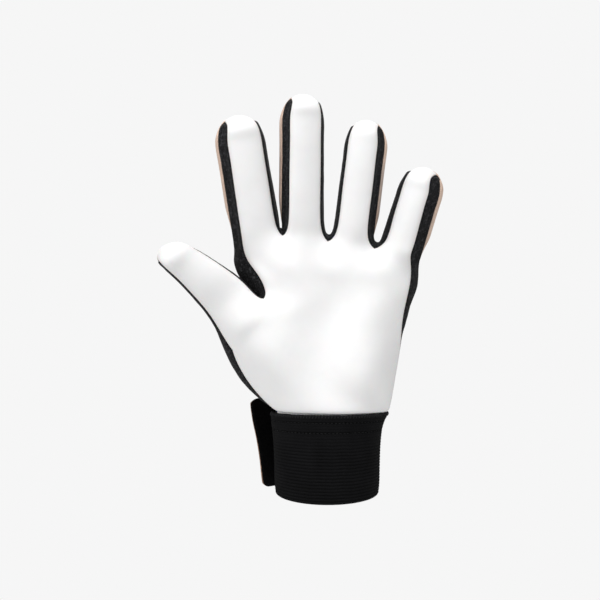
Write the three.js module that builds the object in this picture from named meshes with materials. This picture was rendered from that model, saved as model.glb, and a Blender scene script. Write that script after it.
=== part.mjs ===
// A goalkeeper's glove for the left hand, filled as if worn: fingers up, palm towards -Y, thumb towards -X.
// The origin is the centre of the cuff's opening. Lengths are in millimetres and angles in degrees.
import * as THREE from 'three';

// Palm
const PALM_LENGTH = 106; // from the cuff's top edge to the finger roots
const PALM_WIDTH = 106; // across the palm panel at the finger roots
const PALM_DEPTH = 40;
const CROTCH_RISE = 3.4; // how far the strip between two fingers rises towards the back
const CROTCH_SINK = 1.4; // how far the panels dip into a crotch
const ROOT_TURN = 0.55; // the share of a finger's turn that it has at its root
const BACK_CROWN = 2.6; // how flat the back of the hand is across its middle

// Fingers. `root` and `rise` place the root as shares of the palm's width and length. A finger leans sideways,
// is turned about its own line, reaches forward at its tip and may be bowed. `panel`, `side` and `back` place
// the latex's edge, the strip's middle and the backhand's edge as shares of half the width, on the side towards
// the thumb (A) and away from it (B), and `roll` turns that side's strip to the front. `base` is where the
// first ring is counted from, `swell` and `taper` are the shares of the width at the root and the tip, and
// `seam` moves the tip's seam to the front or back.
const FINGERS = [
  { name: 'index', root: -0.406, rise: 1.018, length: 74.2, width: 27.6, depth: 22.5, lean: -9.2, turn: 11,
    base: 0, forward: 6, bow: 0, panelA: 0.71, sideA: 0.88, rollA: 0.3, panelB: 0.83, sideB: 1.06, rollB: 0,
    back: 1.02, swell: 1.03, taper: 0.99, seam: -0.16 },
  { name: 'middle', root: -0.142, rise: 1.006, length: 87, width: 25.2, depth: 22.5, lean: 0.3, turn: 8,
    base: 0, forward: 8, bow: 0, panelA: 0.72, sideA: 0.87, rollA: 0.26, panelB: 0.8, sideB: 1.02, rollB: 0,
    back: 0.98, swell: 1.02, taper: 0.99, seam: -0.16 },
  { name: 'ring', root: 0.146, rise: 0.962, length: 76.2, width: 24.4, depth: 22, lean: 7, turn: -8,
    base: 0, forward: 7, bow: 0, panelA: 0.8, sideA: 1.02, rollA: 0, panelB: 0.69, sideB: 0.86, rollB: 0.26,
    back: 0.98, swell: 1.02, taper: 0.98, seam: -0.02 },
  { name: 'little', root: 0.42, rise: 0.912, length: 55, width: 25, depth: 21, lean: 17, turn: -20,
    base: 0, forward: 4, bow: 0, panelA: 0.76, sideA: 1.12, rollA: 0, panelB: 0.65, sideB: 0.88, rollB: 0.32,
    back: 1.02, swell: 1.0, taper: 0.97, seam: -0.12 },
];
const THUMB = { name: 'thumb', root: -0.469, rise: 0.515, length: 68, width: 28, depth: 25, lean: -48, turn: 8,
  base: 0.15, forward: 15, bow: 3.4, panelA: 0.93, sideA: 1, rollA: 0, panelB: 0.93, sideB: 0.98, rollB: 0,
  back: 0.88, swell: 1.26, taper: 0.77, seam: -0.2 };
const LATEX_EDGE = 0.62; // the latex's edge stands this share of half the depth in front of a finger's middle
const BACKHAND_EDGE = 0.55; // and the backhand's edge this share behind it
const LATEX_ROLL = 0.5; // the shares of a strip's roll that the edges beside it take
const BACKHAND_ROLL = 1;

// Cuff
const CUFF_HEIGHT = 49.5;
const CUFF_WIDTH = 64;
const CUFF_DEPTH = 43;
const CUFF_TILT = 12.5; // how much the opening's front dips
const CUFF_TUCK = 9; // the panels' lower ends inside the band
const CUFF_LIP = 3; // above the band the body is as wide as the band again
const RIB_COUNT = 18;
const RIB_REACH = 34; // the ribbed height above the opening
const RIB_DEPTH = 0.35;
const WRIST_FRONT = { from: 18, to: 178 }; // the panels' edges round the wrist, as angles round the cuff
const WRIST_BACK = { from: 200, to: 342 };
const WRIST_LITTLE_SIDE = 189;

// Strap, behind the wrist, with its free end at the thumb side
const STRAP_WIDTH = 56.5;
const STRAP_LIFT = 11.5; // how far the free end stands off the band at its top corner
const STRAP_RISE = 5.5; // how much higher the free end lies than the sewn end
const STRAP_CORNER = 4.5;
const STRAP_LOW_LIFT = 0.52; // the share of the lift at the free end's lower corner
const STRAP_START = 212; // the sewn end, as an angle round the cuff
const STRAP_END = 346;
const STRAP_STEPS = 18; // along the strap, closer together towards the free end
const STRAP_CROWDING = 1.5;
const STRAP_HEIGHTS = 6;
const HOOK_WIDTH = 28;
const HOOK_START = 262;
const HOOK_END = 312;
const HOOK_STEPS = 6;
const SEATED = { from: 0.05, to: 0.3 }; // where along the strap it climbs onto the hook pad
const FREE = { from: 0.72, to: 1.15 }; // and where it bends away from the band

// Thicknesses and clearances
const LATEX_THICKNESS = 3.6;
const BACK_THICKNESS = 2.6;
const GUSSET_THICKNESS = 1.6;
const SEAM_THICKNESS = 1.3; // a padded panel is pressed flat along its seams
const BAND_THICKNESS = 2;
const STRAP_THICKNESS = 2.2;
const HOOK_THICKNESS = 1.1;
const GAP = 0.3;
const TUCK_CLEARANCE = 0.9;
const STRAP_CLEARANCE = 0.65;
const PANEL_PROUD = 0.4; // the cut edge of a padded panel stands above the knit beside it
const GUSSET_SUNK = 0.5;
const SEAM_INSET = 0.165; // a panel's edge keeps this far from the seam line
const MITRE_LIMIT = 0.35; // keeps the inset short at sharp corners

// Palm rows from the heel to just below the fingers. `X` and `Up` place the palm panel's edges as shares of
// the palm's width and length, `sideX` and `backX` the strips' middles and the backhand's edges beside them
// (thumb side, then little side), and the other columns are depths as shares of the palm's depth, on the
// palm at the places of DEPTH_PLACES. The row without `sideX` runs into the thumb.
const PALM_ROWS = [
  { thumbX: -0.437, thumbUp: 0.156, littleX: 0.393, littleUp: 0.18, sideX: -0.48, sideX2: 0.384,
    backX: -0.463, backUp: 0.16, backX2: 0.362, edge: 0.16, thenar: 0.5, hollow: 0.49, heel: 0.52, outer: -0.06,
    backEdge: 0.2, back: 0.47, backOuter: 0.22 },
  { thumbX: -0.545, thumbUp: 0.36, littleX: 0.421, littleUp: 0.36, sideX: -0.594, sideX2: 0.414,
    backX: -0.575, backUp: 0.36, backX2: 0.395, edge: 0.26, thenar: 0.56, hollow: 0.4, heel: 0.5, outer: 0,
    backEdge: 0.16, back: 0.44, backOuter: 0.22 },
  { thumbX: -0.475, thumbUp: 0.523, littleX: 0.431, littleUp: 0.5, sideX2: 0.456, backX: -0.49,
    backUp: 0.49, backX2: 0.442, edge: 0.52, thenar: 0.47, hollow: 0.34, heel: 0.45, outer: 0.1,
    backEdge: 0.2, back: 0.4, backOuter: 0.21 },
  { thumbX: -0.365, thumbUp: 0.66, littleX: 0.449, littleUp: 0.612, sideX: -0.43, sideX2: 0.484,
    backX: -0.445, backUp: 0.665, backX2: 0.475, edge: 0.31, thenar: 0.37, hollow: 0.31, heel: 0.41, outer: 0.1,
    backEdge: 0.18, back: 0.38, backOuter: 0.2 },
  { thumbX: -0.394, thumbUp: 0.782, littleX: 0.472, littleUp: 0.712, sideX: -0.505, sideX2: 0.511,
    backX: -0.515, backUp: 0.82, backX2: 0.522, edge: 0.25, thenar: 0.34, hollow: 0.305, heel: 0.36, outer: 0.1,
    backEdge: 0.18, back: 0.36, backOuter: 0.18 },
  { thumbX: -0.466, thumbUp: 0.89, littleX: 0.484, littleUp: 0.81, sideX: -0.527, sideX2: 0.523,
    backX: -0.534, backUp: 0.91, backX2: 0.533, edge: 0.18, thenar: 0.32, hollow: 0.3, heel: 0.325, outer: 0.1,
    backEdge: 0.18, back: 0.34, backOuter: 0.18 },
];
const DEPTH_PLACES = { thenar: 0.22, hollow: 0.5, heel: 0.83 }; // as shares of the way across the panel
const THUMB_LOW_ROW = 4; // the thumb leaves the palm between these rows
const THUMB_HIGH_ROW = 6;

// Rings along a finger: on its shaft as shares of the way from the root to the rounded end,
// and in the rounded end as a distance before the tip in finger widths.
const SHAFT_RINGS = [{ along: 0.17 }, { along: 0.5 }, { along: 0.82 }];
const END_RINGS = [
  { before: 0.56, width: 1.0, depth: 0.98 },
  { before: 0.24, width: 0.86, depth: 0.83 },
];
const TIP_CORNER = { before: 0.09, width: 0.56 };

// Cuff sections from the opening to the top edge, as shares of the cuff's sizes
const CUFF_SECTIONS = [
  { up: 0, width: 0.985, depth: 0.98, shift: 0, tilt: 1 },
  { up: 0.12, width: 1.0, depth: 1.0, shift: 0, tilt: 0.9 },
  { up: 0.4, width: 1.005, depth: 1.01, shift: 0, tilt: 0.62 },
  { up: 0.65, width: 1.03, depth: 1.02, shift: 0, tilt: 0.36 },
  { up: 0.85, width: 1.075, depth: 1.04, shift: 0.004, tilt: 0.16 },
  { up: 1.0, width: 1.137, depth: 1.06, shift: 0.026, tilt: 0.04 },
];
const CUFF_SIDES = 30;
const RIB_CREST = 0.3; // the crest's place in each rib
const SMOOTH_BAND = [0.25, 0.65]; // outer profile points above the ribs, as shares of that height
const BAND_INSIDE = [1, 0.72, 0.45, 0.2]; // inner profile points, as shares of the cuff's height
const FIT_STEPS = 9;

// The knit strips from the thumb's inner side across the fingers
const FINGER_STRIPS = ['gusset_thumb_index', 'gusset_index_middle', 'gusset_middle_ring', 'gusset_ring_little',
  'gusset_little_outer'];

const FRONT_COLUMNS = 2 * FINGERS.length;
const RING_POINTS = 2 * FRONT_COLUMNS + 4;
const LITTLE_SIDE = FRONT_COLUMNS + 1;
const THUMB_SIDE = RING_POINTS - 1;
const { degToRad: radians, lerp: mix, smoothstep } = THREE.MathUtils;

/** A smooth curve through the rows of a table: every column's value at one place of its key column. */
function between(table, key, place) {
  const last = table.length - 1;
  let i = 0;
  while (i < last - 1 && place > table[i + 1][key]) i += 1;
  const [a, b] = [table[i], table[i + 1]];
  const [before, after] = [table[Math.max(i - 1, 0)], table[Math.min(i + 2, last)]];
  const span = b[key] - a[key];
  const t = THREE.MathUtils.clamp((place - a[key]) / span, 0, 1);
  const row = {};
  for (const name of Object.keys(a)) {
    const slopeA = span * (b[name] - before[name]) / (b[key] - before[key]);
    const slopeB = span * (after[name] - a[name]) / (after[key] - a[key]);
    row[name] = (2 * t ** 3 - 3 * t ** 2 + 1) * a[name] + (t ** 3 - 2 * t ** 2 + t) * slopeA
      + (3 * t ** 2 - 2 * t ** 3) * b[name] + (t ** 3 - t ** 2) * slopeB;
  }
  return row;
}

/** A point of the cuff's outer face. The angle runs from the thumb side over the palm side to the back. */
function cuffPoint(angle, height, outward) {
  const section = between(CUFF_SECTIONS, 'up', height / CUFF_HEIGHT);
  const turn = radians(angle);
  const halfWidth = section.width * CUFF_WIDTH / 2;
  const halfDepth = section.depth * CUFF_DEPTH / 2;
  const x = -halfWidth * Math.cos(turn);
  const y = -halfDepth * Math.sin(turn);
  const normal = new THREE.Vector2(x / halfWidth ** 2, y / halfDepth ** 2).normalize().multiplyScalar(outward);
  const z = height + y * Math.tan(radians(section.tilt * CUFF_TILT));
  return new THREE.Vector3(x + normal.x + section.shift * CUFF_WIDTH, y + normal.y, z);
}

/** A ring of the glove's body at the cuff. The palm panel reaches round to the little side there. */
function wristRing(height, outward) {
  const angles = ({ from, to }) => Array.from({ length: FRONT_COLUMNS + 1 },
    (_, column) => mix(from, to, column / FRONT_COLUMNS));
  return [...angles(WRIST_FRONT), WRIST_LITTLE_SIDE, ...angles(WRIST_BACK), 360]
    .map((angle) => cuffPoint(angle, height, outward));
}

/** A finger's middle line, from its root at 0 to its tip at 1. */
function fingerLine(finger, along) {
  const lean = radians(finger.lean);
  const bow = finger.bow * Math.sin(Math.PI * along);
  const reach = finger.length * along;
  return new THREE.Vector3(
    finger.root * PALM_WIDTH + reach * Math.sin(lean) + bow * Math.cos(lean),
    -finger.forward * Math.sin(along * Math.PI / 2),
    CUFF_HEIGHT + finger.rise * PALM_LENGTH + reach * Math.cos(lean) - bow * Math.sin(lean),
  );
}

/** The directions across a finger and out of its palm side. */
function fingerAxes(finger, along) {
  const across = new THREE.Vector3(Math.cos(radians(finger.lean)), 0, -Math.sin(radians(finger.lean)));
  const front = new THREE.Vector3(0, -1, 0);
  const turn = radians(finger.turn) * mix(ROOT_TURN, 1, along);
  return {
    across: across.clone().multiplyScalar(Math.cos(turn)).addScaledVector(front, -Math.sin(turn)),
    front: front.clone().multiplyScalar(Math.cos(turn)).addScaledVector(across, Math.sin(turn)),
  };
}

/** Eight points round a finger: palm panel, strip, back panel and strip. */
function fingerRing(finger, along, widthShare, depthShare) {
  const centre = fingerLine(finger, along);
  const { across, front } = fingerAxes(finger, along);
  const halfWidth = finger.width * widthShare / 2;
  const halfDepth = finger.depth * depthShare / 2;
  const at = (u, v) => centre.clone()
    .addScaledVector(across, u * halfWidth)
    .addScaledVector(front, v * halfDepth);
  return [
    at(-finger.panelA, LATEX_EDGE + finger.rollA * LATEX_ROLL), at(0, 1),
    at(finger.panelB, LATEX_EDGE + finger.rollB * LATEX_ROLL), at(finger.sideB, finger.rollB),
    at(finger.back, finger.rollB * BACKHAND_ROLL - BACKHAND_EDGE), at(0, -1),
    at(-finger.back, finger.rollA * BACKHAND_ROLL - BACKHAND_EDGE), at(-finger.sideA, finger.rollA),
  ];
}

/** The rings of a finger above its root. */
function fingerRings(finger) {
  const shaftEnd = 1 - END_RINGS[0].before * finger.width / finger.length;
  const shaft = SHAFT_RINGS.map((ring) => {
    const along = mix(finger.base, 1, ring.along);
    const width = mix(finger.swell, finger.taper, along);
    return fingerRing(finger, along * shaftEnd, width, mix(width, 1, 0.5));
  });
  const end = END_RINGS.map((ring) => {
    const along = 1 - ring.before * finger.width / finger.length;
    return fingerRing(finger, along, finger.taper * ring.width, ring.depth);
  });
  return [...shaft, ...end];
}

/** The three points where the palm and back panels meet over a fingertip. */
function fingerTip(finger) {
  const { across, front } = fingerAxes(finger, 1);
  const sink = finger.seam * finger.depth;
  const half = finger.taper * TIP_CORNER.width * finger.width / 2;
  const cornerAlong = 1 - TIP_CORNER.before * finger.width / finger.length;
  return [-1, 0, 1].map((side) => fingerLine(finger, side === 0 ? 1 : cornerAlong)
    .addScaledVector(across, side * half).addScaledVector(front, sink));
}

/** Points of one palm row, in the order of the ring: front columns, little side, back columns, thumb side. */
function palmRing(row, rowShare, rootShares) {
  const front = [];
  const back = [];
  const depths = [
    { u: 0, depth: row.edge },
    ...Object.entries(DEPTH_PLACES).map(([name, u]) => ({ u, depth: row[name] })),
    { u: 1, depth: row.outer },
  ];
  for (let column = 0; column <= FRONT_COLUMNS; column += 1) {
    const u = mix(column / FRONT_COLUMNS, rootShares[column], rowShare);
    const place = (xA, xB, upA, upB, depth) => new THREE.Vector3(
      mix(xA, xB, u) * PALM_WIDTH, depth * PALM_DEPTH, CUFF_HEIGHT + mix(upA, upB, u) * PALM_LENGTH);
    front.push(place(row.thumbX, row.littleX, row.thumbUp, row.littleUp, -between(depths, 'u', u).depth));
    const crown = 1 - Math.abs(2 * u - 1) ** BACK_CROWN;
    const backDepth = mix(mix(row.backEdge, row.backOuter, u), row.back, crown);
    back.push(place(row.backX, row.backX2, row.backUp, row.littleUp, backDepth));
  }
  const side = (column, x) => front[column].clone().lerp(back[column], 0.5).setX(x * PALM_WIDTH);
  const thumbSide = row.sideX === undefined ? [] : [side(0, row.sideX)];
  return [...front, side(FRONT_COLUMNS, row.sideX2), ...back.slice().reverse(), ...thumbSide];
}

/** The ring at the finger roots, and the middle point of each crotch between two fingers. */
function rootRing() {
  const front = [];
  const back = [];
  const crotches = [];
  const rings = FINGERS.map((finger) => fingerRing(finger, 0, finger.swell, 1));
  rings.forEach((ring, i) => {
    if (i === 0) {
      front.push(ring[0]);
      back.push(ring[6]);
    } else {
      const previous = rings[i - 1];
      const sink = new THREE.Vector3(0, CROTCH_SINK, 0);
      const rise = new THREE.Vector3(0, 0, CROTCH_RISE);
      front.push(previous[2].clone().lerp(ring[0], 0.5).add(sink));
      back.push(previous[4].clone().lerp(ring[6], 0.5).sub(sink).add(rise));
      crotches.push(front.at(-1).clone().lerp(back.at(-1), 0.5).addScaledVector(rise, 0.5));
    }
    front.push(ring[1]);
    back.push(ring[5]);
  });
  front.push(rings.at(-1)[2]);
  back.push(rings.at(-1)[4]);
  return { whole: [...front, rings.at(-1)[3], ...back.slice().reverse(), rings[0][7]], crotches };
}

/** The glove's whole skin as one coarse mesh of four-sided faces, each marked with its panel. */
function gloveCage() {
  const cage = { points: [], faces: [] };
  const add = (points) => points.map((point) => cage.points.push(point) - 1);
  const face = (panel, ...corners) => cage.faces.push({ panel, corners });
  const root = rootRing();
  const span = root.whole[FRONT_COLUMNS].x - root.whole[0].x;
  const rootShares = root.whole.slice(0, FRONT_COLUMNS + 1).map((point) => (point.x - root.whole[0].x) / span);
  const inside = -(BAND_THICKNESS + TUCK_CLEARANCE);
  const rings = [
    wristRing(CUFF_HEIGHT - CUFF_TUCK, inside),
    wristRing(CUFF_HEIGHT + CUFF_LIP / 4, inside),
    wristRing(CUFF_HEIGHT + CUFF_LIP, 0),
    ...PALM_ROWS.map((row, i) => palmRing(row, (i + 2) / (PALM_ROWS.length + 2), rootShares)),
    root.whole,
  ];
  const rows = rings.map(add);
  const crotches = add(root.crotches);
  const inThumb = (r) => r >= THUMB_LOW_ROW && r < THUMB_HIGH_ROW;

  const bodyPanel = (r, i) => {
    if (i < FRONT_COLUMNS) return 'palm_panel';
    if (i <= LITTLE_SIDE) return 'gusset_little_outer';
    if (i < THUMB_SIDE - 1) return 'backhand_panel';
    return r < THUMB_LOW_ROW ? 'gusset_thumb_outer' : 'gusset_thumb_index';
  };
  for (let r = 0; r < rows.length - 1; r += 1) {
    const count = inThumb(r) ? THUMB_SIDE - 1 : RING_POINTS;
    for (let i = 0; i < count; i += 1) {
      const next = (i + 1) % RING_POINTS;
      face(bodyPanel(r, i), rows[r][i], rows[r][next], rows[r + 1][next], rows[r + 1][i]);
    }
  }

  const grow = (finger, base, rightStrip, leftStrip) => {
    const panels = ['palm_panel', 'palm_panel', rightStrip, rightStrip,
      'backhand_panel', 'backhand_panel', leftStrip, leftStrip];
    let ring = base;
    for (const next of fingerRings(finger).map(add)) {
      panels.forEach((panel, i) => face(panel, ring[i], ring[(i + 1) % 8], next[(i + 1) % 8], next[i]));
      ring = next;
    }
    const tip = add(fingerTip(finger));
    face('palm_panel', ring[0], ring[1], tip[1], tip[0]);
    face('palm_panel', ring[1], ring[2], tip[2], tip[1]);
    face(rightStrip, ring[2], ring[3], ring[4], tip[2]);
    face('backhand_panel', ring[4], ring[5], tip[1], tip[2]);
    face('backhand_panel', ring[5], ring[6], tip[0], tip[1]);
    face(leftStrip, ring[6], ring[7], ring[0], tip[0]);
  };
  const top = rows.at(-1);
  const backAt = (row, column) => row[THUMB_SIDE - 1 - column];
  FINGERS.forEach((finger, i) => {
    const left = 2 * i;
    const rightSide = i < crotches.length ? crotches[i] : top[LITTLE_SIDE];
    const leftSide = i > 0 ? crotches[i - 1] : top[THUMB_SIDE];
    const base = [top[left], top[left + 1], top[left + 2], rightSide,
      backAt(top, left + 2), backAt(top, left + 1), backAt(top, left), leftSide];
    grow(finger, base, FINGER_STRIPS[i + 1], FINGER_STRIPS[i]);
  });
  const thumbRows = [rows[THUMB_LOW_ROW], rows[THUMB_LOW_ROW + 1], rows[THUMB_HIGH_ROW]];
  const thumbBase = [
    thumbRows[0][0], thumbRows[1][0], thumbRows[2][0], thumbRows[2][THUMB_SIDE],
    backAt(thumbRows[2], 0), backAt(thumbRows[1], 0), backAt(thumbRows[0], 0), thumbRows[0][THUMB_SIDE],
  ];
  grow(THUMB, thumbBase, 'gusset_thumb_index', 'gusset_thumb_outer');
  return cage;
}

/** The edges of a mesh with the faces that share each, and the edges and faces round each point. */
function connections(mesh) {
  const edges = new Map();
  const around = mesh.points.map(() => ({ edges: [], faces: [] }));
  mesh.faces.forEach(({ corners }, f) => corners.forEach((a, i) => {
    const b = corners[(i + 1) % corners.length];
    const key = a < b ? `${a} ${b}` : `${b} ${a}`;
    if (!edges.has(key)) {
      edges.set(key, { key, ends: [a, b], faces: [] });
      around[a].edges.push(edges.get(key));
      around[b].edges.push(edges.get(key));
    }
    edges.get(key).faces.push(f);
    around[a].faces.push({ f, across: corners[(i + 2) % corners.length] });
  }));
  return { edges, around };
}

/** Where each point of a mesh ends up when the mesh is smoothed without end. */
function limitPoints(mesh, { around }) {
  return mesh.points.map((point, p) => {
    const far = (edge) => mesh.points[edge.ends[0] === p ? edge.ends[1] : edge.ends[0]];
    const rim = around[p].edges.filter((edge) => edge.faces.length === 1);
    if (rim.length > 0) {
      return point.clone().multiplyScalar(4).add(far(rim[0])).add(far(rim[1])).divideScalar(6);
    }
    const n = around[p].edges.length;
    const sum = point.clone().multiplyScalar(n * n);
    around[p].edges.forEach((edge) => sum.addScaledVector(far(edge), 4));
    around[p].faces.forEach(({ across }) => sum.add(mesh.points[across]));
    return sum.divideScalar(n * (n + 5));
  });
}

/** Moves a coarse mesh's points so that its smooth surface passes through where they were. */
function fitted(mesh) {
  const links = connections(mesh);
  let points = mesh.points;
  for (let step = 0; step < FIT_STEPS; step += 1) {
    const limit = limitPoints({ ...mesh, points }, links);
    points = points.map((point, i) => point.clone().add(mesh.points[i]).sub(limit[i]));
  }
  return { ...mesh, points };
}

/** One step of smooth subdivision: every face becomes four. */
function subdivided(mesh) {
  const { edges, around } = connections(mesh);
  const mean = (list) => list
    .reduce((sum, point) => sum.add(point), new THREE.Vector3())
    .divideScalar(list.length);
  const faceMiddles = mesh.faces.map(({ corners }) => mean(corners.map((c) => mesh.points[c])));
  const points = mesh.points.map((point, p) => {
    const mids = around[p].edges.map((edge) => mean(edge.ends.map((end) => mesh.points[end])));
    const rim = mids.filter((_, i) => around[p].edges[i].faces.length === 1);
    if (rim.length > 0) return mean([point, mean(rim)]);
    const n = around[p].edges.length;
    return point.clone().multiplyScalar(n - 3)
      .addScaledVector(mean(mids), 2)
      .add(mean(around[p].faces.map(({ f }) => faceMiddles[f])))
      .divideScalar(n);
  });
  const faceStart = points.length;
  points.push(...faceMiddles);
  const edgePoint = new Map();
  for (const edge of edges.values()) {
    const ends = edge.ends.map((end) => mesh.points[end]);
    const whole = edge.faces.length === 2 ? [...ends, ...edge.faces.map((f) => faceMiddles[f])] : ends;
    edgePoint.set(edge.key, points.push(mean(whole)) - 1);
  }
  const middle = (a, b) => edgePoint.get(a < b ? `${a} ${b}` : `${b} ${a}`);
  const faces = mesh.faces.flatMap(({ panel, corners }, f) => corners.map((corner, i) => {
    const before = corners[(i + 3) % 4];
    const after = corners[(i + 1) % 4];
    return { panel, corners: [corner, middle(corner, after), faceStart + f, middle(before, corner)] };
  }));
  return { points, faces };
}

/** The outward direction at every point of a closed or open mesh. */
function pointNormals(mesh) {
  const normals = mesh.points.map(() => new THREE.Vector3());
  for (const { corners } of mesh.faces) {
    const [a, b, c, d] = corners.map((corner) => mesh.points[corner]);
    const normal = c.clone().sub(a).cross(d.clone().sub(b));
    corners.forEach((corner) => normals[corner].add(normal));
  }
  return normals.map((normal) => normal.normalize());
}

/** A geometry from points and from faces of three or four corners. */
function geometryOf(points, faces) {
  const geometry = new THREE.BufferGeometry();
  const index = faces.flatMap(([a, b, c, d]) => {
    if (d === undefined) return [a, b, c];
    const straight = points[a].distanceTo(points[c]) <= points[b].distanceTo(points[d]);
    return straight ? [a, b, c, a, c, d] : [a, b, d, b, c, d];
  });
  geometry.setAttribute('position', new THREE.Float32BufferAttribute(points.flatMap((p) => p.toArray()), 3));
  geometry.setIndex(index);
  geometry.computeVertexNormals();
  return geometry;
}

/** One panel of the skin as a wall: its faces, the same faces further in, and the cut edge between them. */
function panelWall(skin, normals, { panel, thickness, proud }) {
  const faces = skin.faces.filter((face) => face.panel === panel).map((face) => face.corners);
  const rim = new Map();
  for (const corners of faces) {
    corners.forEach((a, i) => {
      const b = corners[(i + 1) % 4];
      if (!rim.delete(`${b} ${a}`)) rim.set(`${a} ${b}`, [a, b]);
    });
  }
  const inward = new Map();
  for (const [a, b] of rim.values()) {
    const along = skin.points[b].clone().sub(skin.points[a]);
    [a, b].forEach((p) => {
      const step = normals[p].clone().cross(along).normalize();
      inward.set(p, [...(inward.get(p) ?? []), step]);
    });
  }
  const used = [...new Set(faces.flat())];
  const numbers = new Map(used.map((p, i) => [p, i]));
  const seated = used.map((p) => {
    const point = skin.points[p].clone();
    if (inward.has(p)) {
      const [first, second] = inward.get(p);
      const mitre = first.clone().add(second).divideScalar(Math.max(1 + first.dot(second), MITRE_LIMIT));
      point.addScaledVector(mitre, SEAM_INSET);
    }
    return point;
  });
  const outer = seated.map((point, i) => point.clone().addScaledVector(normals[used[i]], proud));
  const depth = (p) => (inward.has(p) ? Math.min(thickness, SEAM_THICKNESS) : thickness);
  const inner = seated.map((point, i) => point.clone()
    .addScaledVector(normals[used[i]], proud - depth(used[i])));
  const count = used.length;
  const renumbered = faces.map((corners) => corners.map((corner) => numbers.get(corner)));
  return geometryOf([...outer, ...inner], [
    ...renumbered,
    ...renumbered.map((corners) => corners.map((corner) => corner + count).reverse()),
    ...[...rim.values()].map((ends) => ends.map((end) => numbers.get(end)))
      .map(([a, b]) => [b, a, a + count, b + count]),
  ]);
}

/** A closed tube of rings, each the same number of points, that ends where it begins. */
function closedLoops(loops) {
  const size = loops[0].length;
  const faces = loops.flatMap((_, r) => {
    const nextLoop = (r + 1) % loops.length;
    return loops[r].map((__, i) => [r * size + i, r * size + (i + 1) % size,
      nextLoop * size + (i + 1) % size, nextLoop * size + i]);
  });
  return geometryOf(loops.flat(), faces);
}

/** The elastic band: ribbed below, smooth above, with a rounded lower edge. */
function cuffBand() {
  const profile = [];
  const ribStep = RIB_REACH / RIB_COUNT;
  const edge = BAND_THICKNESS / 2;
  profile.push({ height: 0, outward: -edge });
  for (let rib = 0; rib < RIB_COUNT; rib += 1) {
    profile.push({ height: (rib + RIB_CREST) * ribStep, outward: 0 });
    profile.push({ height: (rib + 1) * ribStep, outward: -RIB_DEPTH });
  }
  SMOOTH_BAND.forEach((share) => profile.push({ height: mix(RIB_REACH, CUFF_HEIGHT, share), outward: 0 }));
  profile.push({ height: CUFF_HEIGHT, outward: 0 });
  BAND_INSIDE.forEach((share) => profile.push({ height: share * CUFF_HEIGHT, outward: -BAND_THICKNESS }));
  profile.push({ height: edge, outward: -BAND_THICKNESS });
  const loops = profile.map(({ height, outward }) => Array.from({ length: CUFF_SIDES },
    (_, i) => cuffPoint(i * 360 / CUFF_SIDES, height, outward)));
  return closedLoops(loops);
}

/** A bent plate on the cuff's back: a grid of places, each with its angle, height and distance off the band. */
function wrappedPlate(rows, thickness) {
  const face = (extra) => rows.map((row) => row
    .map(({ angle, height, off }) => cuffPoint(angle, height, off + extra)));
  const inner = face(0);
  const outer = face(thickness);
  const loops = rows.map((_, r) => [...inner[r], ...outer[r].slice().reverse()]);
  const size = loops[0].length;
  const columns = rows[0].length;
  const faces = [];
  for (let r = 0; r < loops.length - 1; r += 1) {
    for (let i = 0; i < size; i += 1) {
      const next = (i + 1) % size;
      faces.push([r * size + i, r * size + next, (r + 1) * size + next, (r + 1) * size + i]);
    }
  }
  const last = (loops.length - 1) * size;
  for (let c = 0; c < columns - 1; c += 1) {
    faces.push([c + 1, c, size - 1 - c, size - 2 - c]);
    faces.push([last + c, last + c + 1, last + size - 2 - c, last + size - 1 - c]);
  }
  return geometryOf(loops.flat(), faces);
}

/** The strap's distance off the band, which grows past the hook pad towards the free end. */
function strapOff(along, up) {
  const seated = smoothstep(along, SEATED.from, SEATED.to);
  const free = smoothstep(along, FREE.from, FREE.to) / smoothstep(1, FREE.from, FREE.to);
  return STRAP_CLEARANCE + seated * (GAP + HOOK_THICKNESS) + free * mix(STRAP_LOW_LIFT, 1, up) * STRAP_LIFT;
}

/** The closing strap: a wide band round the back of the wrist whose free end has rounded corners. */
function closingStrap() {
  const low = (CUFF_HEIGHT - STRAP_WIDTH) / 2 - STRAP_RISE / 4;
  const rows = [];
  for (let s = 0; s <= STRAP_STEPS; s += 1) {
    const along = 1 - (1 - s / STRAP_STEPS) ** STRAP_CROWDING;
    const angle = mix(STRAP_START, STRAP_END, along);
    const toEnd = radians(STRAP_END - angle) * CUFF_WIDTH / 2;
    const intoCorner = Math.max(STRAP_CORNER - toEnd, 0);
    const corner = STRAP_CORNER - Math.sqrt(Math.max(STRAP_CORNER ** 2 - intoCorner ** 2, 0));
    const base = low + along * STRAP_RISE;
    rows.push(Array.from({ length: STRAP_HEIGHTS + 1 }, (_, h) => {
      const up = h / STRAP_HEIGHTS;
      return { angle, height: mix(base + corner, base + STRAP_WIDTH - corner, up), off: strapOff(along, up) };
    }));
  }
  return wrappedPlate(rows, STRAP_THICKNESS);
}

/** The hook pad between the band and the strap. */
function hookPad() {
  const rows = Array.from({ length: HOOK_STEPS + 1 }, (_, s) => [0, 0.5, 1].map((up) => ({
    angle: mix(HOOK_START, HOOK_END, s / HOOK_STEPS),
    height: (CUFF_HEIGHT - HOOK_WIDTH) / 2 + up * HOOK_WIDTH,
    off: GAP,
  })));
  return wrappedPlate(rows, HOOK_THICKNESS);
}

const latex = { color: 0xf6f5f5, roughness: 0.5, metalness: 0 };
const printedFoam = { color: 0xcfae98, roughness: 0.7, metalness: 0 };
const blackKnit = { color: 0x1b1b1d, roughness: 0.85, metalness: 0 };
const blackElastic = { color: 0x141416, roughness: 0.8, metalness: 0 };

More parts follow.
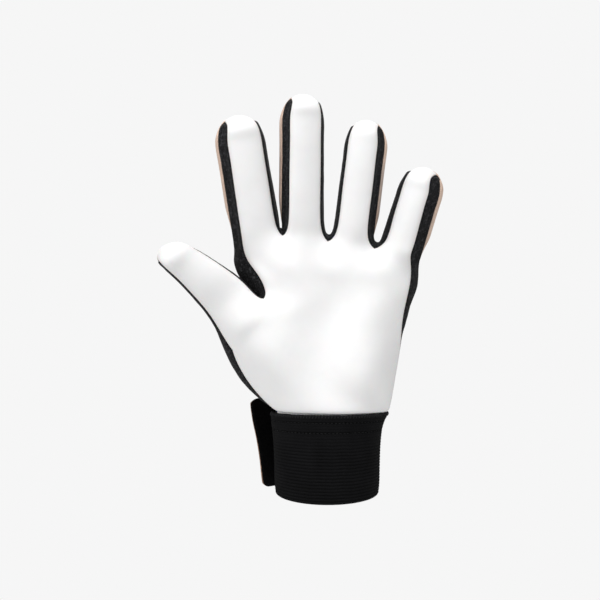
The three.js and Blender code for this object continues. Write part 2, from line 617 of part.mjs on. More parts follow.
const PANELS = [
  { panel: 'palm_panel', thickness: LATEX_THICKNESS, proud: PANEL_PROUD, look: latex },
  { panel: 'backhand_panel', thickness: BACK_THICKNESS, proud: PANEL_PROUD, look: printedFoam },
  ...['gusset_thumb_outer', ...FINGER_STRIPS]
    .map((panel) => ({ panel, thickness: GUSSET_THICKNESS, proud: -GUSSET_SUNK, look: blackKnit })),
];

/** A named mesh of one piece with its own material. */
function piece(name, geometry, look) {
  const mesh = new THREE.Mesh(geometry, new THREE.MeshStandardMaterial(look));
  mesh.name = name;
  return mesh;
}

function goalkeeperGlove() {
  const glove = new THREE.Group();
  const smooth = subdivided(fitted(gloveCage()));
  const skin = { ...smooth, points: limitPoints(smooth, connections(smooth)) };
  const normals = pointNormals(skin);
  for (const panel of PANELS) {
    glove.add(piece(panel.panel, panelWall(skin, normals, panel), panel.look));
  }
  glove.add(piece('cuff_band', cuffBand(), blackElastic));
  glove.add(piece('closing_strap', closingStrap(), blackElastic));
  glove.add(piece('hook_pad', hookPad(), blackKnit));
  return glove;
}

export default goalkeeperGlove();
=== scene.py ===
"""A goalkeeper's glove for the left hand, filled as if worn: fingers up, palm towards -Y, thumb towards -X.

The sizes below are in millimetres and the angles in degrees, those of the stage in metres. The meshes are
made in metres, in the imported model's frame.
"""

import functools
import math

import bpy
import numpy as np
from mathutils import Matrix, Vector, bvhtree, kdtree, noise


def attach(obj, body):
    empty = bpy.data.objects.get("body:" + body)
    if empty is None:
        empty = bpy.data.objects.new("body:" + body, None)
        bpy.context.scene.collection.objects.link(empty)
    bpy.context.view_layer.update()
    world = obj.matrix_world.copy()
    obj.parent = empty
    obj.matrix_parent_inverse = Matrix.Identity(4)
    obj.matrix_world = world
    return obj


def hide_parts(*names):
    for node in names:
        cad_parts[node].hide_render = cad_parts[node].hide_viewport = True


bl_info = {
    "name": "Goalkeeper glove",
    "version": (1, 0, 0),
    "blender": (4, 5, 0),
    "location": "View3D > Sidebar > Glove",
    "description": "Builds a left goalkeeper glove: padded panels, knit strips, an elastic cuff and a strap",
    "category": "Add Mesh",
}

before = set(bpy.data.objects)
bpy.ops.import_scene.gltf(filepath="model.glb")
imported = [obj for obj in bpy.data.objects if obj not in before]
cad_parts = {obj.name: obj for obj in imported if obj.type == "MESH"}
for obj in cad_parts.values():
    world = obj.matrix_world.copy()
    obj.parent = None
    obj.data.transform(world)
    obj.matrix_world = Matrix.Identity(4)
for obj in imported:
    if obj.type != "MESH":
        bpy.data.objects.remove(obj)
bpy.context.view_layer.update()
MM = 0.001

# Palm
PALM_LENGTH, PALM_WIDTH, PALM_DEPTH = 106, 106, 40
CROTCH_RISE, CROTCH_SINK = 3.4, 1.4
ROOT_TURN = 0.55
BACK_CROWN = 2.6
LATEX_EDGE, BACKHAND_EDGE = 0.62, 0.55
LATEX_ROLL, BACKHAND_ROLL = 0.5, 1.0

FINGER_COLUMNS = (
    "root", "rise", "length", "width", "depth", "lean", "turn", "base", "forward", "bow",
    "panel_a", "side_a", "roll_a", "panel_b", "side_b", "roll_b", "back", "swell", "taper", "seam",
)
FINGERS = [dict(zip(FINGER_COLUMNS, row)) for row in (
    (-0.406, 1.018, 74.2, 27.6, 22.5, -9.2, 11, 0, 6, 0,
     0.71, 0.88, 0.30, 0.83, 1.06, 0, 1.02, 1.03, 0.99, -0.16),
    (-0.142, 1.006, 87.0, 25.2, 22.5, 0.3, 8, 0, 8, 0,
     0.72, 0.87, 0.26, 0.80, 1.02, 0, 0.98, 1.02, 0.99, -0.16),
    (0.146, 0.962, 76.2, 24.4, 22.0, 7.0, -8, 0, 7, 0,
     0.80, 1.02, 0, 0.69, 0.86, 0.26, 0.98, 1.02, 0.98, -0.02),
    (0.420, 0.912, 55.0, 25.0, 21.0, 17.0, -20, 0, 4, 0,
     0.76, 1.12, 0, 0.65, 0.88, 0.32, 1.02, 1.00, 0.97, -0.12),
)]
THUMB = dict(zip(FINGER_COLUMNS, (
    -0.469, 0.515, 68, 28, 25, -48, 8, 0.15, 15, 3.4, 0.93, 1, 0, 0.93, 0.98, 0, 0.88, 1.26, 0.77, -0.2)))

ROW_COLUMNS = (
    "thumb_x", "thumb_up", "little_x", "little_up", "side_x", "side_x2", "back_x", "back_up", "back_x2",
    "edge", "thenar", "hollow", "heel", "outer", "back_edge", "back", "back_outer",
)
PALM_ROWS = [dict(zip(ROW_COLUMNS, row)) for row in (
    (-0.437, 0.156, 0.393, 0.180, -0.480, 0.384, -0.463, 0.160, 0.362,
     0.16, 0.50, 0.490, 0.520, -0.06, 0.20, 0.47, 0.22),
    (-0.545, 0.360, 0.421, 0.360, -0.594, 0.414, -0.575, 0.360, 0.395,
     0.26, 0.56, 0.400, 0.500, 0.00, 0.16, 0.44, 0.22),
    (-0.475, 0.523, 0.431, 0.500, None, 0.456, -0.490, 0.490, 0.442,
     0.52, 0.47, 0.340, 0.450, 0.10, 0.20, 0.40, 0.21),
    (-0.365, 0.660, 0.449, 0.612, -0.430, 0.484, -0.445, 0.665, 0.475,
     0.31, 0.37, 0.310, 0.410, 0.10, 0.18, 0.38, 0.20),
    (-0.394, 0.782, 0.472, 0.712, -0.505, 0.511, -0.515, 0.820, 0.522,
     0.25, 0.34, 0.305, 0.360, 0.10, 0.18, 0.36, 0.18),
    (-0.466, 0.890, 0.484, 0.810, -0.527, 0.523, -0.534, 0.910, 0.533,
     0.18, 0.32, 0.300, 0.325, 0.10, 0.18, 0.34, 0.18),
)]
THUMB_LOW_ROW, THUMB_HIGH_ROW = 4, 6
SHAFT_RINGS = (0.17, 0.5, 0.82)
END_RINGS = ({"before": 0.56, "width": 1.0, "depth": 0.98}, {"before": 0.24, "width": 0.86, "depth": 0.83})
TIP_CORNER = {"before": 0.09, "width": 0.56}
FIT_STEPS = 9

# Cuff
CUFF_HEIGHT, CUFF_WIDTH, CUFF_DEPTH, CUFF_TILT = 49.5, 64, 43, 12.5
CUFF_TUCK, CUFF_LIP = 9, 3
WRIST_FRONT, WRIST_LITTLE_SIDE, WRIST_BACK = (18, 178), 189, (200, 342)
CUFF_SECTIONS = {
    "up": (0, 0.12, 0.4, 0.65, 0.85, 1.0),
    "width": (0.985, 1.0, 1.005, 1.03, 1.075, 1.137),
    "depth": (0.98, 1.0, 1.01, 1.02, 1.04, 1.06),
    "shift": (0, 0, 0, 0, 0.004, 0.026),
    "tilt": (1, 0.9, 0.62, 0.36, 0.16, 0.04),
}

# Strap and hook pad
STRAP_WIDTH, STRAP_LIFT, STRAP_RISE, STRAP_CORNER, STRAP_LOW_LIFT = 56.5, 11.5, 5.5, 4.5, 0.52
STRAP_START, STRAP_END = 212, 346
HOOK_WIDTH, HOOK_START, HOOK_END = 28, 262, 312
SEATED, FREE = (0.05, 0.3), (0.72, 1.15)

# Walls and clearances
LATEX_THICKNESS, BACK_THICKNESS, GUSSET_THICKNESS, SEAM_THICKNESS = 3.6, 2.6, 1.6, 1.3
BAND_THICKNESS, STRAP_THICKNESS, HOOK_THICKNESS = 2.0, 2.2, 1.1
GAP, SEAM_INSET, MITRE_LIMIT = 0.3, 0.165, 0.35
TUCK_CLEARANCE, STRAP_CLEARANCE = 0.9, 0.65
PANEL_PROUD, GUSSET_SUNK = 0.4, 0.5
SEAM_EASE = 4

# Relief of the panels and strips, which the solids leave out
FULL_REACH, UNEVEN, UNEVEN_SIZE = 2.2, 0.1, 14
STITCH_LINE, GROOVE_DEPTH, GROOVE_WIDTH = 4.4, 0.45, 0.8
EDGE_ROLL, ROLL_PLACE, ROLL_WIDTH = 1.6, 1.7, 1.3
EDGE_OVERHANG, OVERHANG_REACH = 1.9, 2.6
FLEX_PLACES, FLEX_DEPTH, FLEX_WIDTH = (0.3, 0.62), 0.5, 1.1
STRIP_SWELL, STRIP_SWELL_REACH, STRIP_UNEVEN, STRIP_UNEVEN_SIZE = 0.3, 2.5, 0.12, 4
SEAM_MARK_REACH = 10  # where the seam attribute of the palm reads 1

# Threads
THREAD_SIDES = 6
STITCH_STEPS, STITCH_SINK, STITCH_TAPER = 6, 0.6, 0.45
LOOP_STEPS, LOOP_SWING, LOOP_RADIUS = 5, 0.12, (0.72, 0.42)
SEAM_SHIFT, SEAM_SINK, SEAM_START, SEAM_SHORTEST = 0.15, 0.36, 0.6, 8
BACK_STITCH = {"length": 2.3, "radius": 0.21, "lift": 0.3}
BACK_STITCH_START, BACK_STITCH_SHORTEST, BACK_STITCH_STEP, BACK_STITCH_SMOOTHINGS = 1.5, 20, 0.8, 3
CUFF_STITCH = {"pitch": 2.3, "length": 1.5, "radius": 0.2, "lift": 0.22}
STRAP_STITCH = {"pitch": 3.0, "length": 2.2, "radius": 0.2, "lift": 0.26}
BIND_LOOPS, BIND_STEPS, BIND_SWEEP, BIND_RADIUS = 118, 12, (-20, 150), 0.27
BIND_SINK, BIND_REACH, BIND_PROUD, BIND_UNEVEN, BIND_PLACES = 1.3, 1.35, 0.1, 0.35, 60

# Relief of the cuff, strap and hook patch
CUFF_COLUMNS, CUFF_INNER_ROWS, CUFF_ROUND_STEPS = 420, 20, 4
# The last of these is the groove depth at which the elastic's painted shade is darkest.
RIB_STEPS, RIB_ROUND, RIB_POWER, RIB_SHADE_DEPTH = 6, 1.0, 0.7, 0.5
RIB_LOW_SHARE, RIB_FADE = 0.34, (26, 40)
WOBBLE_PLACES, WOBBLE_SIZE, RIB_WOBBLE, EDGE_WOBBLE, EDGE_WOBBLE_HEIGHT = 73, 0.12, 0.25, 0.28, 3
STITCH_ROWS, ROW_WIDTH, ROW_DEPTH, ROW_PULL = (39.4, 45.0), 0.55, 0.22, 0.3
CUFF_BULGE, CUFF_BULGE_HEIGHT = 0.35, 38
STRAP_COLUMNS, STRAP_ROWS, STRAP_EASE = 150, 84, 1.5
STRAP_BORDER, STRAP_END_PLACES, STRAP_STITCH_SINK = 3.2, 40, 0.08
TRIM_WIDTH, TRIM_SHARE = 0.5, 0.9
PLATE_ROUND = 0.9
HOOK_COLUMNS, HOOK_ROWS, HOOK_PITCH, HOOK_HEIGHT, HOOK_MARGIN = 121, 113, 1.3, 0.35, (0.8, 1.6)
HOOK_ROOM = 0.2  # the patch's base is thinner by this, for its hooks

# Stage, in metres
GLOVE_MIDDLE = (-0.0166, 0, 0.125)
CAMERA_X, CAMERA_HEIGHT, SENSOR_WIDTH, CLIP_START = -0.01658, 0.1182, 36, 0.01
KEY_PLACE, KEY_SIZE = (0.02, -0.7, 1.35), 1.2
# Name, place, size and how many times the fill lights' strength
FILL_LIGHTS = (
    ("left_light", (-1.1, -0.55, 0.45), 0.8, 6),
    ("right_light", (1.1, -0.45, 0.35), 0.8, 1),
    ("back_light", (0.2, 1.2, 0.9), 0.9, 6),
)
SURROUND_LIGHT = 0.4
FLOOR_SIDES, FLOOR_RADII = 96, (400, 1000, 2000, 3000)  # the radii in millimetres

SKIN_LEVELS = 4
FRONT_COLUMNS = 2 * len(FINGERS)
RING_POINTS = 2 * FRONT_COLUMNS + 4
LITTLE_SIDE = FRONT_COLUMNS + 1
THUMB_SIDE = RING_POINTS - 1
GUSSETS = (
    "gusset_thumb_outer", "gusset_thumb_index", "gusset_index_middle",
    "gusset_middle_ring", "gusset_ring_little", "gusset_little_outer",
)
PANELS = ("palm_panel", "backhand_panel", *GUSSETS)


def mix(a, b, share):
    return a + (b - a) * share


def smoothstep(value, low, high):
    share = np.clip((value - low) / (high - low), 0, 1)
    return share * share * (3 - 2 * share)


def unit(vectors):
    return vectors / np.maximum(np.linalg.norm(vectors, axis=-1, keepdims=True), 1e-12)


def ripple(points, size, seed):
    """Smooth irregularity from -1 to 1 at each point, with bumps of about that size."""
    offset = Vector((seed * 7.3, seed * 3.1, seed * 5.7))
    return np.array([noise.noise(Vector(point) / size + offset) for point in points])


def between(table, key, place):
    """A smooth curve through the columns of a table at places of its key column."""
    keys = np.array(table[key], float)
    place = np.asarray(place, float)
    last = len(keys) - 1
    a = np.searchsorted(keys[1:-1], place, side="left")
    b, before, after = a + 1, np.maximum(a - 1, 0), np.minimum(a + 2, last)
    span = keys[b] - keys[a]
    t = np.clip((place - keys[a]) / span, 0, 1)
    found = {}
    for name, column in table.items():
        values = np.array(column, float)
        slope_a = span * (values[b] - values[before]) / (keys[b] - keys[before])
        slope_b = span * (values[after] - values[a]) / (keys[after] - keys[a])
        found[name] = ((2 * t**3 - 3 * t**2 + 1) * values[a] + (t**3 - 2 * t**2 + t) * slope_a
                       + (3 * t**2 - 2 * t**3) * values[b] + (t**3 - t**2) * slope_b)
    return found


def cuff_points(angles, heights, outward):
    """Points of the cuff's outer face, moved outward. Angles run from the thumb over the palm to the back."""
    angles, heights, outward = np.broadcast_arrays(angles, heights, outward)
    section = between(CUFF_SECTIONS, "up", heights / CUFF_HEIGHT)
    turn = np.radians(angles)
    half_width = section["width"] * CUFF_WIDTH / 2
    half_depth = section["depth"] * CUFF_DEPTH / 2
    x, y = -half_width * np.cos(turn), -half_depth * np.sin(turn)
    normal = unit(np.stack([x / half_width**2, y / half_depth**2], -1)) * outward[..., None]
    z = heights + y * np.tan(np.radians(section["tilt"] * CUFF_TILT))
    return np.stack([x + normal[..., 0] + section["shift"] * CUFF_WIDTH, y + normal[..., 1], z], -1)


def wrist_ring(height, outward):
    front = np.linspace(*WRIST_FRONT, FRONT_COLUMNS + 1)
    back = np.linspace(*WRIST_BACK, FRONT_COLUMNS + 1)
    return cuff_points(np.concatenate([front, [WRIST_LITTLE_SIDE], back, [360]]), height, outward)


def finger_line(finger, along):
    """A finger's middle line, from its root at 0 to its tip at 1."""
    lean = math.radians(finger["lean"])
    bow = finger["bow"] * math.sin(math.pi * along)
    reach = finger["length"] * along
    return np.array([
        finger["root"] * PALM_WIDTH + reach * math.sin(lean) + bow * math.cos(lean),
        -finger["forward"] * math.sin(along * math.pi / 2),
        CUFF_HEIGHT + finger["rise"] * PALM_LENGTH + reach * math.cos(lean) - bow * math.sin(lean),
    ])


def finger_axes(finger, along):
    """The directions across a finger and out of its palm side."""
    lean = math.radians(finger["lean"])
    across, front = np.array([math.cos(lean), 0, -math.sin(lean)]), np.array([0, -1.0, 0])
    turn = math.radians(finger["turn"]) * mix(ROOT_TURN, 1, along)
    return (across * math.cos(turn) - front * math.sin(turn), front * math.cos(turn) + across * math.sin(turn))


def finger_ring(finger, along, width_share, depth_share):
    """Eight points round a finger: palm panel, strip, back panel and strip."""
    centre = finger_line(finger, along)
    across, front = finger_axes(finger, along)
    roll_a, roll_b, back = finger["roll_a"], finger["roll_b"], finger["back"]
    places = (
        (-finger["panel_a"], LATEX_EDGE + roll_a * LATEX_ROLL), (0, 1),
        (finger["panel_b"], LATEX_EDGE + roll_b * LATEX_ROLL), (finger["side_b"], roll_b),
        (back, roll_b * BACKHAND_ROLL - BACKHAND_EDGE), (0, -1),
        (-back, roll_a * BACKHAND_ROLL - BACKHAND_EDGE), (-finger["side_a"], roll_a),
    )
    return np.array([
        centre + across * u * finger["width"] * width_share / 2 + front * v * finger["depth"] * depth_share / 2
        for u, v in places
    ])


def finger_rings(finger):
    """The rings of a finger above its root."""
    per_length = finger["width"] / finger["length"]
    shaft_end = 1 - END_RINGS[0]["before"] * per_length
    rings = []
    for share in SHAFT_RINGS:
        along = mix(finger["base"], 1, share)
        width = mix(finger["swell"], finger["taper"], along)
        rings.append(finger_ring(finger, along * shaft_end, width, mix(width, 1, 0.5)))
    for end in END_RINGS:
        along, width = 1 - end["before"] * per_length, finger["taper"] * end["width"]
        rings.append(finger_ring(finger, along, width, end["depth"]))
    return rings


def finger_tip(finger):
    """The three points where the palm and back panels meet over a fingertip."""
    across, front = finger_axes(finger, 1)
    half = finger["taper"] * TIP_CORNER["width"] * finger["width"] / 2
    corner = 1 - TIP_CORNER["before"] * finger["width"] / finger["length"]
    to_seam = front * finger["seam"] * finger["depth"]
    return np.array([
        finger_line(finger, 1 if side == 0 else corner) + across * side * half + to_seam for side in (-1, 0, 1)
    ])


def palm_ring(row, row_share, root_shares):
    """Points of one palm row: front columns, little side, back columns, thumb side."""
    depth_columns = ("edge", "thenar", "hollow", "heel", "outer")
    depths = {"u": (0, 0.22, 0.5, 0.83, 1), "depth": [row[column] for column in depth_columns]}
    front, back = [], []
    for column in range(FRONT_COLUMNS + 1):
        u = mix(column / FRONT_COLUMNS, root_shares[column], row_share)
        depth = between(depths, "u", u)["depth"]
        front.append([mix(row["thumb_x"], row["little_x"], u) * PALM_WIDTH, -depth * PALM_DEPTH,
                      CUFF_HEIGHT + mix(row["thumb_up"], row["little_up"], u) * PALM_LENGTH])
        crown = 1 - abs(2 * u - 1) ** BACK_CROWN
        back_depth = mix(mix(row["back_edge"], row["back_outer"], u), row["back"], crown)
        back.append([mix(row["back_x"], row["back_x2"], u) * PALM_WIDTH, back_depth * PALM_DEPTH,
                     CUFF_HEIGHT + mix(row["back_up"], row["little_up"], u) * PALM_LENGTH])
    front, back = np.array(front), np.array(back)

    def side(column, x):
        middle = (front[column] + back[column]) / 2
        return np.array([[x * PALM_WIDTH, middle[1], middle[2]]])

    parts = [front, side(FRONT_COLUMNS, row["side_x2"]), back[::-1]]
    if row["side_x"] is not None:
        parts.append(side(0, row["side_x"]))
    return np.concatenate(parts)


def root_ring():
    """The ring at the finger roots, and the middle point of each crotch."""
    rings = [finger_ring(finger, 0, finger["swell"], 1) for finger in FINGERS]
    front, back, crotches = [rings[0][0]], [rings[0][6]], []
    for i, ring in enumerate(rings):
        if i:
            front.append((rings[i - 1][2] + ring[0]) / 2 + [0, CROTCH_SINK, 0])
            back.append((rings[i - 1][4] + ring[6]) / 2 + [0, -CROTCH_SINK, CROTCH_RISE])
            crotches.append((front[-1] + back[-1]) / 2 + [0, 0, CROTCH_RISE / 2])
        front.append(ring[1])
        back.append(ring[5])
    front.append(rings[-1][2])
    back.append(rings[-1][4])
    return np.array([*front, rings[-1][3], *back[::-1], rings[0][7]]), crotches


def glove_cage():
    """The glove's whole skin as one coarse mesh of four-sided faces, each marked with its panel."""
    points, faces, panels = [], [], []

    def add(found):
        start = len(points)
        points.extend(found)
        return list(range(start, len(points)))

    def face(panel, *corners):
        faces.append(corners)
        panels.append(PANELS.index(panel))

    root, crotch_points = root_ring()
    fronts = root[: FRONT_COLUMNS + 1, 0]
    shares = (fronts - fronts[0]) / (fronts[-1] - fronts[0])
    inside = -(BAND_THICKNESS + TUCK_CLEARANCE)
    rows = [add(ring) for ring in (
        wrist_ring(CUFF_HEIGHT - CUFF_TUCK, inside),
        wrist_ring(CUFF_HEIGHT + CUFF_LIP / 4, inside),
        wrist_ring(CUFF_HEIGHT + CUFF_LIP, 0),
        *(palm_ring(row, (i + 2) / (len(PALM_ROWS) + 2), shares) for i, row in enumerate(PALM_ROWS)),
        root,
    )]
    crotches = add(crotch_points)

    def body_panel(r, i):
        if i < FRONT_COLUMNS:
            return "palm_panel"
        if i <= LITTLE_SIDE:
            return "gusset_little_outer"
        if i < THUMB_SIDE - 1:
            return "backhand_panel"
        return "gusset_thumb_outer" if r < THUMB_LOW_ROW else "gusset_thumb_index"

    for r in range(len(rows) - 1):
        in_thumb = THUMB_LOW_ROW <= r < THUMB_HIGH_ROW
        for i in range(THUMB_SIDE - 1 if in_thumb else RING_POINTS):
            j = (i + 1) % RING_POINTS
            face(body_panel(r, i), rows[r][i], rows[r][j], rows[r + 1][j], rows[r + 1][i])

    def grow(finger, ring, right, left):
        order = ("palm_panel", "palm_panel", right, right, "backhand_panel", "backhand_panel", left, left)
        for above in (add(found) for found in finger_rings(finger)):
            for i, panel in enumerate(order):
                j = (i + 1) % 8
                face(panel, ring[i], ring[j], above[j], above[i])
            ring = above
        tip = add(finger_tip(finger))
        face("palm_panel", ring[0], ring[1], tip[1], tip[0])
        face("palm_panel", ring[1], ring[2], tip[2], tip[1])
        face(right, ring[2], ring[3], ring[4], tip[2])
        face("backhand_panel", ring[4], ring[5], tip[1], tip[2])
        face("backhand_panel", ring[5], ring[6], tip[0], tip[1])
        face(left, ring[6], ring[7], ring[0], tip[0])

    def back_at(row, column):
        return row[THUMB_SIDE - 1 - column]

    top, strips = rows[-1], GUSSETS[1:]
    for i, finger in enumerate(FINGERS):
        left = 2 * i
        right_side = crotches[i] if i < len(crotches) else top[LITTLE_SIDE]
        left_side = crotches[i - 1] if i else top[THUMB_SIDE]
        base = [top[left], top[left + 1], top[left + 2], right_side,
                back_at(top, left + 2), back_at(top, left + 1), back_at(top, left), left_side]
        grow(finger, base, strips[i + 1], strips[i])
    low, middle, high = rows[THUMB_LOW_ROW], rows[THUMB_LOW_ROW + 1], rows[THUMB_HIGH_ROW]
    grow(THUMB, [low[0], middle[0], high[0], high[THUMB_SIDE], back_at(high, 0), back_at(middle, 0),
                 back_at(low, 0), low[THUMB_SIDE]], "gusset_thumb_index", "gusset_thumb_outer")
    return np.array(points), np.array(faces), np.array(panels)


def edges_of(faces):
    """Each edge once, the edge after every corner of every face, and which edges lie on the rim."""
    pairs = np.sort(np.stack([faces, np.roll(faces, -1, 1)], -1).reshape(-1, 2), 1)
    edges, numbers = np.unique(pairs, axis=0, return_inverse=True)
    numbers = numbers.reshape(faces.shape)
    return edges, numbers, np.bincount(numbers.ravel(), minlength=len(edges)) == 1


def limit_points(points, faces):
    """Where each point ends up when the mesh is smoothed without end."""
    edges, _, rim = edges_of(faces)
    total, count = np.zeros_like(points), np.zeros(len(points))
    rim_total, on_rim = np.zeros_like(points), np.zeros(len(points), bool)
    for a, b in ((0, 1), (1, 0)):
        np.add.at(total, edges[:, a], points[edges[:, b]])
        np.add.at(count, edges[:, a], 1)
        np.add.at(rim_total, edges[rim, a], points[edges[rim, b]])
        on_rim[edges[rim, a]] = True
    across = np.zeros_like(points)
    np.add.at(across, faces.ravel(), points[np.roll(faces, -2, 1).ravel()])
    n = count[:, None]
    found = (n * n * points + 4 * total + across) / (n * (n + 5))
    found[on_rim] = (4 * points[on_rim] + rim_total[on_rim]) / 6
    return found


def subdivided(points, faces, panels):
    """One step of smooth subdivision: every face becomes four."""
    edges, numbers, rim = edges_of(faces)
    face_middles = points[faces].mean(1)
    middles = points[edges].mean(1)
    beside = np.zeros_like(middles)
    np.add.at(beside, numbers.ravel(), np.repeat(face_middles, 4, 0))
    edge_points = np.where(rim[:, None], middles, (middles + beside / 2) / 2)
    total, count = np.zeros_like(points), np.zeros(len(points))
    rim_total, on_rim = np.zeros_like(points), np.zeros(len(points), bool)
    for end in (0, 1):
        np.add.at(total, edges[:, end], middles)
        np.add.at(count, edges[:, end], 1)
        np.add.at(rim_total, edges[rim, end], middles[rim])
        on_rim[edges[rim, end]] = True
    face_total, face_count = np.zeros_like(points), np.zeros(len(points))
    np.add.at(face_total, faces.ravel(), np.repeat(face_middles, 4, 0))
    np.add.at(face_count, faces.ravel(), 1)
    n = count[:, None]
    moved = ((n - 3) * points + 2 * total / n + face_total / face_count[:, None]) / n
    moved[on_rim] = points[on_rim] / 2 + rim_total[on_rim] / 4
    edge_start = len(points) + len(faces)
    middle = len(points) + np.arange(len(faces))
    after = edge_start + numbers
    before = np.roll(after, 1, 1)
    quads = np.stack([faces, after, np.repeat(middle[:, None], 4, 1), before], -1).reshape(-1, 4)
    return np.concatenate([moved, face_middles, edge_points]), quads, np.repeat(panels, 4)


@functools.lru_cache(maxsize=1)
def glove_skin():
    """The smooth skin through the points of the cage: points, outward directions, faces and their panels."""
    target, faces, panels = glove_cage()
    points = target
    for _ in range(FIT_STEPS):
        points = points + target - limit_points(points, faces)
    for _ in range(SKIN_LEVELS):
        points, faces, panels = subdivided(points, faces, panels)
    points = limit_points(points, faces)
    corners = points[faces]
    turned = np.cross(corners[:, 2] - corners[:, 0], corners[:, 3] - corners[:, 1])
    normals = np.zeros_like(points)
    np.add.at(normals, faces.ravel(), np.repeat(turned, 4, 0))
    return points, unit(normals), faces, panels


def rim_edges(faces):
    """The directed edges on the rim of a set of faces."""
    directed = np.stack([faces, np.roll(faces, -1, 1)], -1).reshape(-1, 2)
    both = {tuple(edge) for edge in directed.tolist()}
    return [(a, b) for a, b in directed.tolist() if (b, a) not in both]


def panel_faces(panel):
    """The faces of the skin that belong to a panel."""
    _, _, faces, panels = glove_skin()
    return faces[panels == PANELS.index(panel)]


def wall_mesh(panel, thickness, face_offset, overhang=None):
    """One panel as a closed wall: its points, its faces with the outer ones first, and the way to its seam.

    face_offset gives how far the face stands off the skin at each point, and overhang how far it is moved
    out over the seam.
    """
    points, normals, _, _ = glove_skin()
    faces = panel_faces(panel)
    rim = rim_edges(faces)
    inward = {}
    for a, b in rim:
        for p in (a, b):
            step = np.cross(normals[p], points[b] - points[a])
            inward.setdefault(p, []).append(step / max(np.linalg.norm(step), 1e-12))
    used = np.unique(faces)
    numbers = np.full(len(points), -1)
    numbers[used] = np.arange(len(used))
    seated = points[used].copy()
    for p, steps in inward.items():
        first, second = steps[0], steps[-1]
        seated[numbers[p]] += (first + second) / max(1 + first @ second, MITRE_LIMIT) * SEAM_INSET
    tree = kdtree.KDTree(len(inward))
    for p in inward:
        tree.insert(Vector(points[p]), p)
    tree.balance()
    nearest = [tree.find(Vector(point)) for point in points[used]]
    seam = np.array([found[2] for found in nearest])
    if overhang is not None:
        away = -unit(np.array([inward[found[1]][0] + inward[found[1]][-1] for found in nearest]))
        seated += away * overhang(seated, seam)[:, None]
    out = normals[used]
    offset = face_offset(seated, seam)
    outer = seated + out * offset[:, None]
    depth = mix(min(thickness, SEAM_THICKNESS), thickness, smoothstep(seam, 0, SEAM_EASE))
    proud = PANEL_PROUD if thickness > GUSSET_THICKNESS else -GUSSET_SUNK
    inner = seated + out * (proud - depth)[:, None]
    count = len(used)
    quads = numbers[faces]
    walls = [(numbers[b], numbers[a], numbers[a] + count, numbers[b] + count) for a, b in rim]
    all_faces = [*quads.tolist(), *(quads[:, ::-1] + count).tolist(), *[tuple(map(int, w)) for w in walls]]
    return np.concatenate([outer, inner]), all_faces, np.concatenate([seam, seam])


def runs_above(height, edges, points, shortest):
    """Directed edges above a height, joined into runs of point numbers. Short runs are left out."""
    edges = [edge for edge in edges if min(points[list(edge), 2]) > height]
    following, starts = {}, {a for a, _ in edges} - {b for _, b in edges}
    for a, b in edges:
        following[a] = b
    runs = []
    while following:
        start = next(iter(sorted(starts & set(following))), min(following))
        run = [start]
        while run[-1] in following:
            run.append(following.pop(run[-1]))
        if len(run) >= shortest:
            runs.append(run)
    return runs


def resampled(path, pitch):
    """Points at an even pitch along a path, with any number of columns after its three places."""
    steps = np.linalg.norm(np.diff(path[:, :3], axis=0), axis=1)
    reach = np.concatenate([[0], np.cumsum(steps)])
    count = max(int(round(reach[-1] / pitch)), 2)
    places = np.linspace(0, reach[-1], count + 1)
    return np.stack([np.interp(places, reach, column) for column in path.T], -1), places


def thread(path, outward, radii):
    """A tube along a path, as points and faces."""
    sides = THREAD_SIDES
    tangent = unit(np.gradient(path, axis=0))
    side = unit(np.cross(tangent, outward))
    up = np.cross(side, tangent)
    turn = np.linspace(0, 2 * np.pi, sides, endpoint=False)
    ring = np.cos(turn)[None, :, None] * up[:, None] + np.sin(turn)[None, :, None] * side[:, None]
    points = (path[:, None] + ring * np.broadcast_to(radii, len(path))[:, None, None]).reshape(-1, 3)
    faces = []
    for r in range(len(path) - 1):
        for i in range(sides):
            j = (i + 1) % sides
            faces.append((r * sides + i, (r + 1) * sides + i, (r + 1) * sides + j, r * sides + j))
    last = (len(path) - 1) * sides
    faces += [tuple(range(sides)), tuple(last + i for i in reversed(range(sides)))]
    return points, faces


def joined(parts):
    """Several sets of points and faces as one."""
    points, faces, start = [], [], 0
    for found, quads in parts:
        points.append(found)
        faces += [tuple(corner + start for corner in quad) for quad in quads]
        start += len(found)
    return np.concatenate(points), faces


def stitches(path, outward, pitch, length, radius, lift):
    """Single stitches along a path, each an arched piece of thread that dives in at its ends."""
    even, places = resampled(np.concatenate([path, outward], 1), pitch / STITCH_STEPS)
    parts = []
    shape = np.linspace(-1, 1, STITCH_STEPS + 1)
    for k in range(int(places[-1] // pitch)):
        middle = (k + 0.5) * pitch
        reach = middle + shape * length / 2
        centre = np.stack([np.interp(reach, places, column) for column in even.T], -1)
        line, out = centre[:, :3], unit(centre[:, 3:])
        arch = lift * (1 - shape**2) - radius * STITCH_SINK
        parts.append(thread(line + out * arch[:, None], out, radius * (1 - STITCH_TAPER * shape**4)))
    return parts


def new_object(name, points, faces, material, smooth=True):
    """A mesh object from points in millimetres. Its faces look outward."""
    mesh = bpy.data.meshes.new(name)
    mesh.from_pydata((np.asarray(points) * MM).tolist(), [], [list(face) for face in faces])
    mesh.materials.append(material)
    if smooth:
        mesh.shade_smooth()
    mesh.validate()
    obj = bpy.data.objects.new(name, mesh)
    bpy.context.scene.collection.objects.link(obj)
    return obj


def dress(obj, slot, *nodes):
    """The piece rides on the glove and stands for its CAD nodes; slot is not used."""
    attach(obj, "root")
    if nodes:
        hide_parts(*nodes)
    return obj


def add_values(obj, name, values):
    attribute = obj.data.attributes.new(name, "FLOAT", "POINT")
    attribute.data.foreach_set("value", np.asarray(values, np.float32))


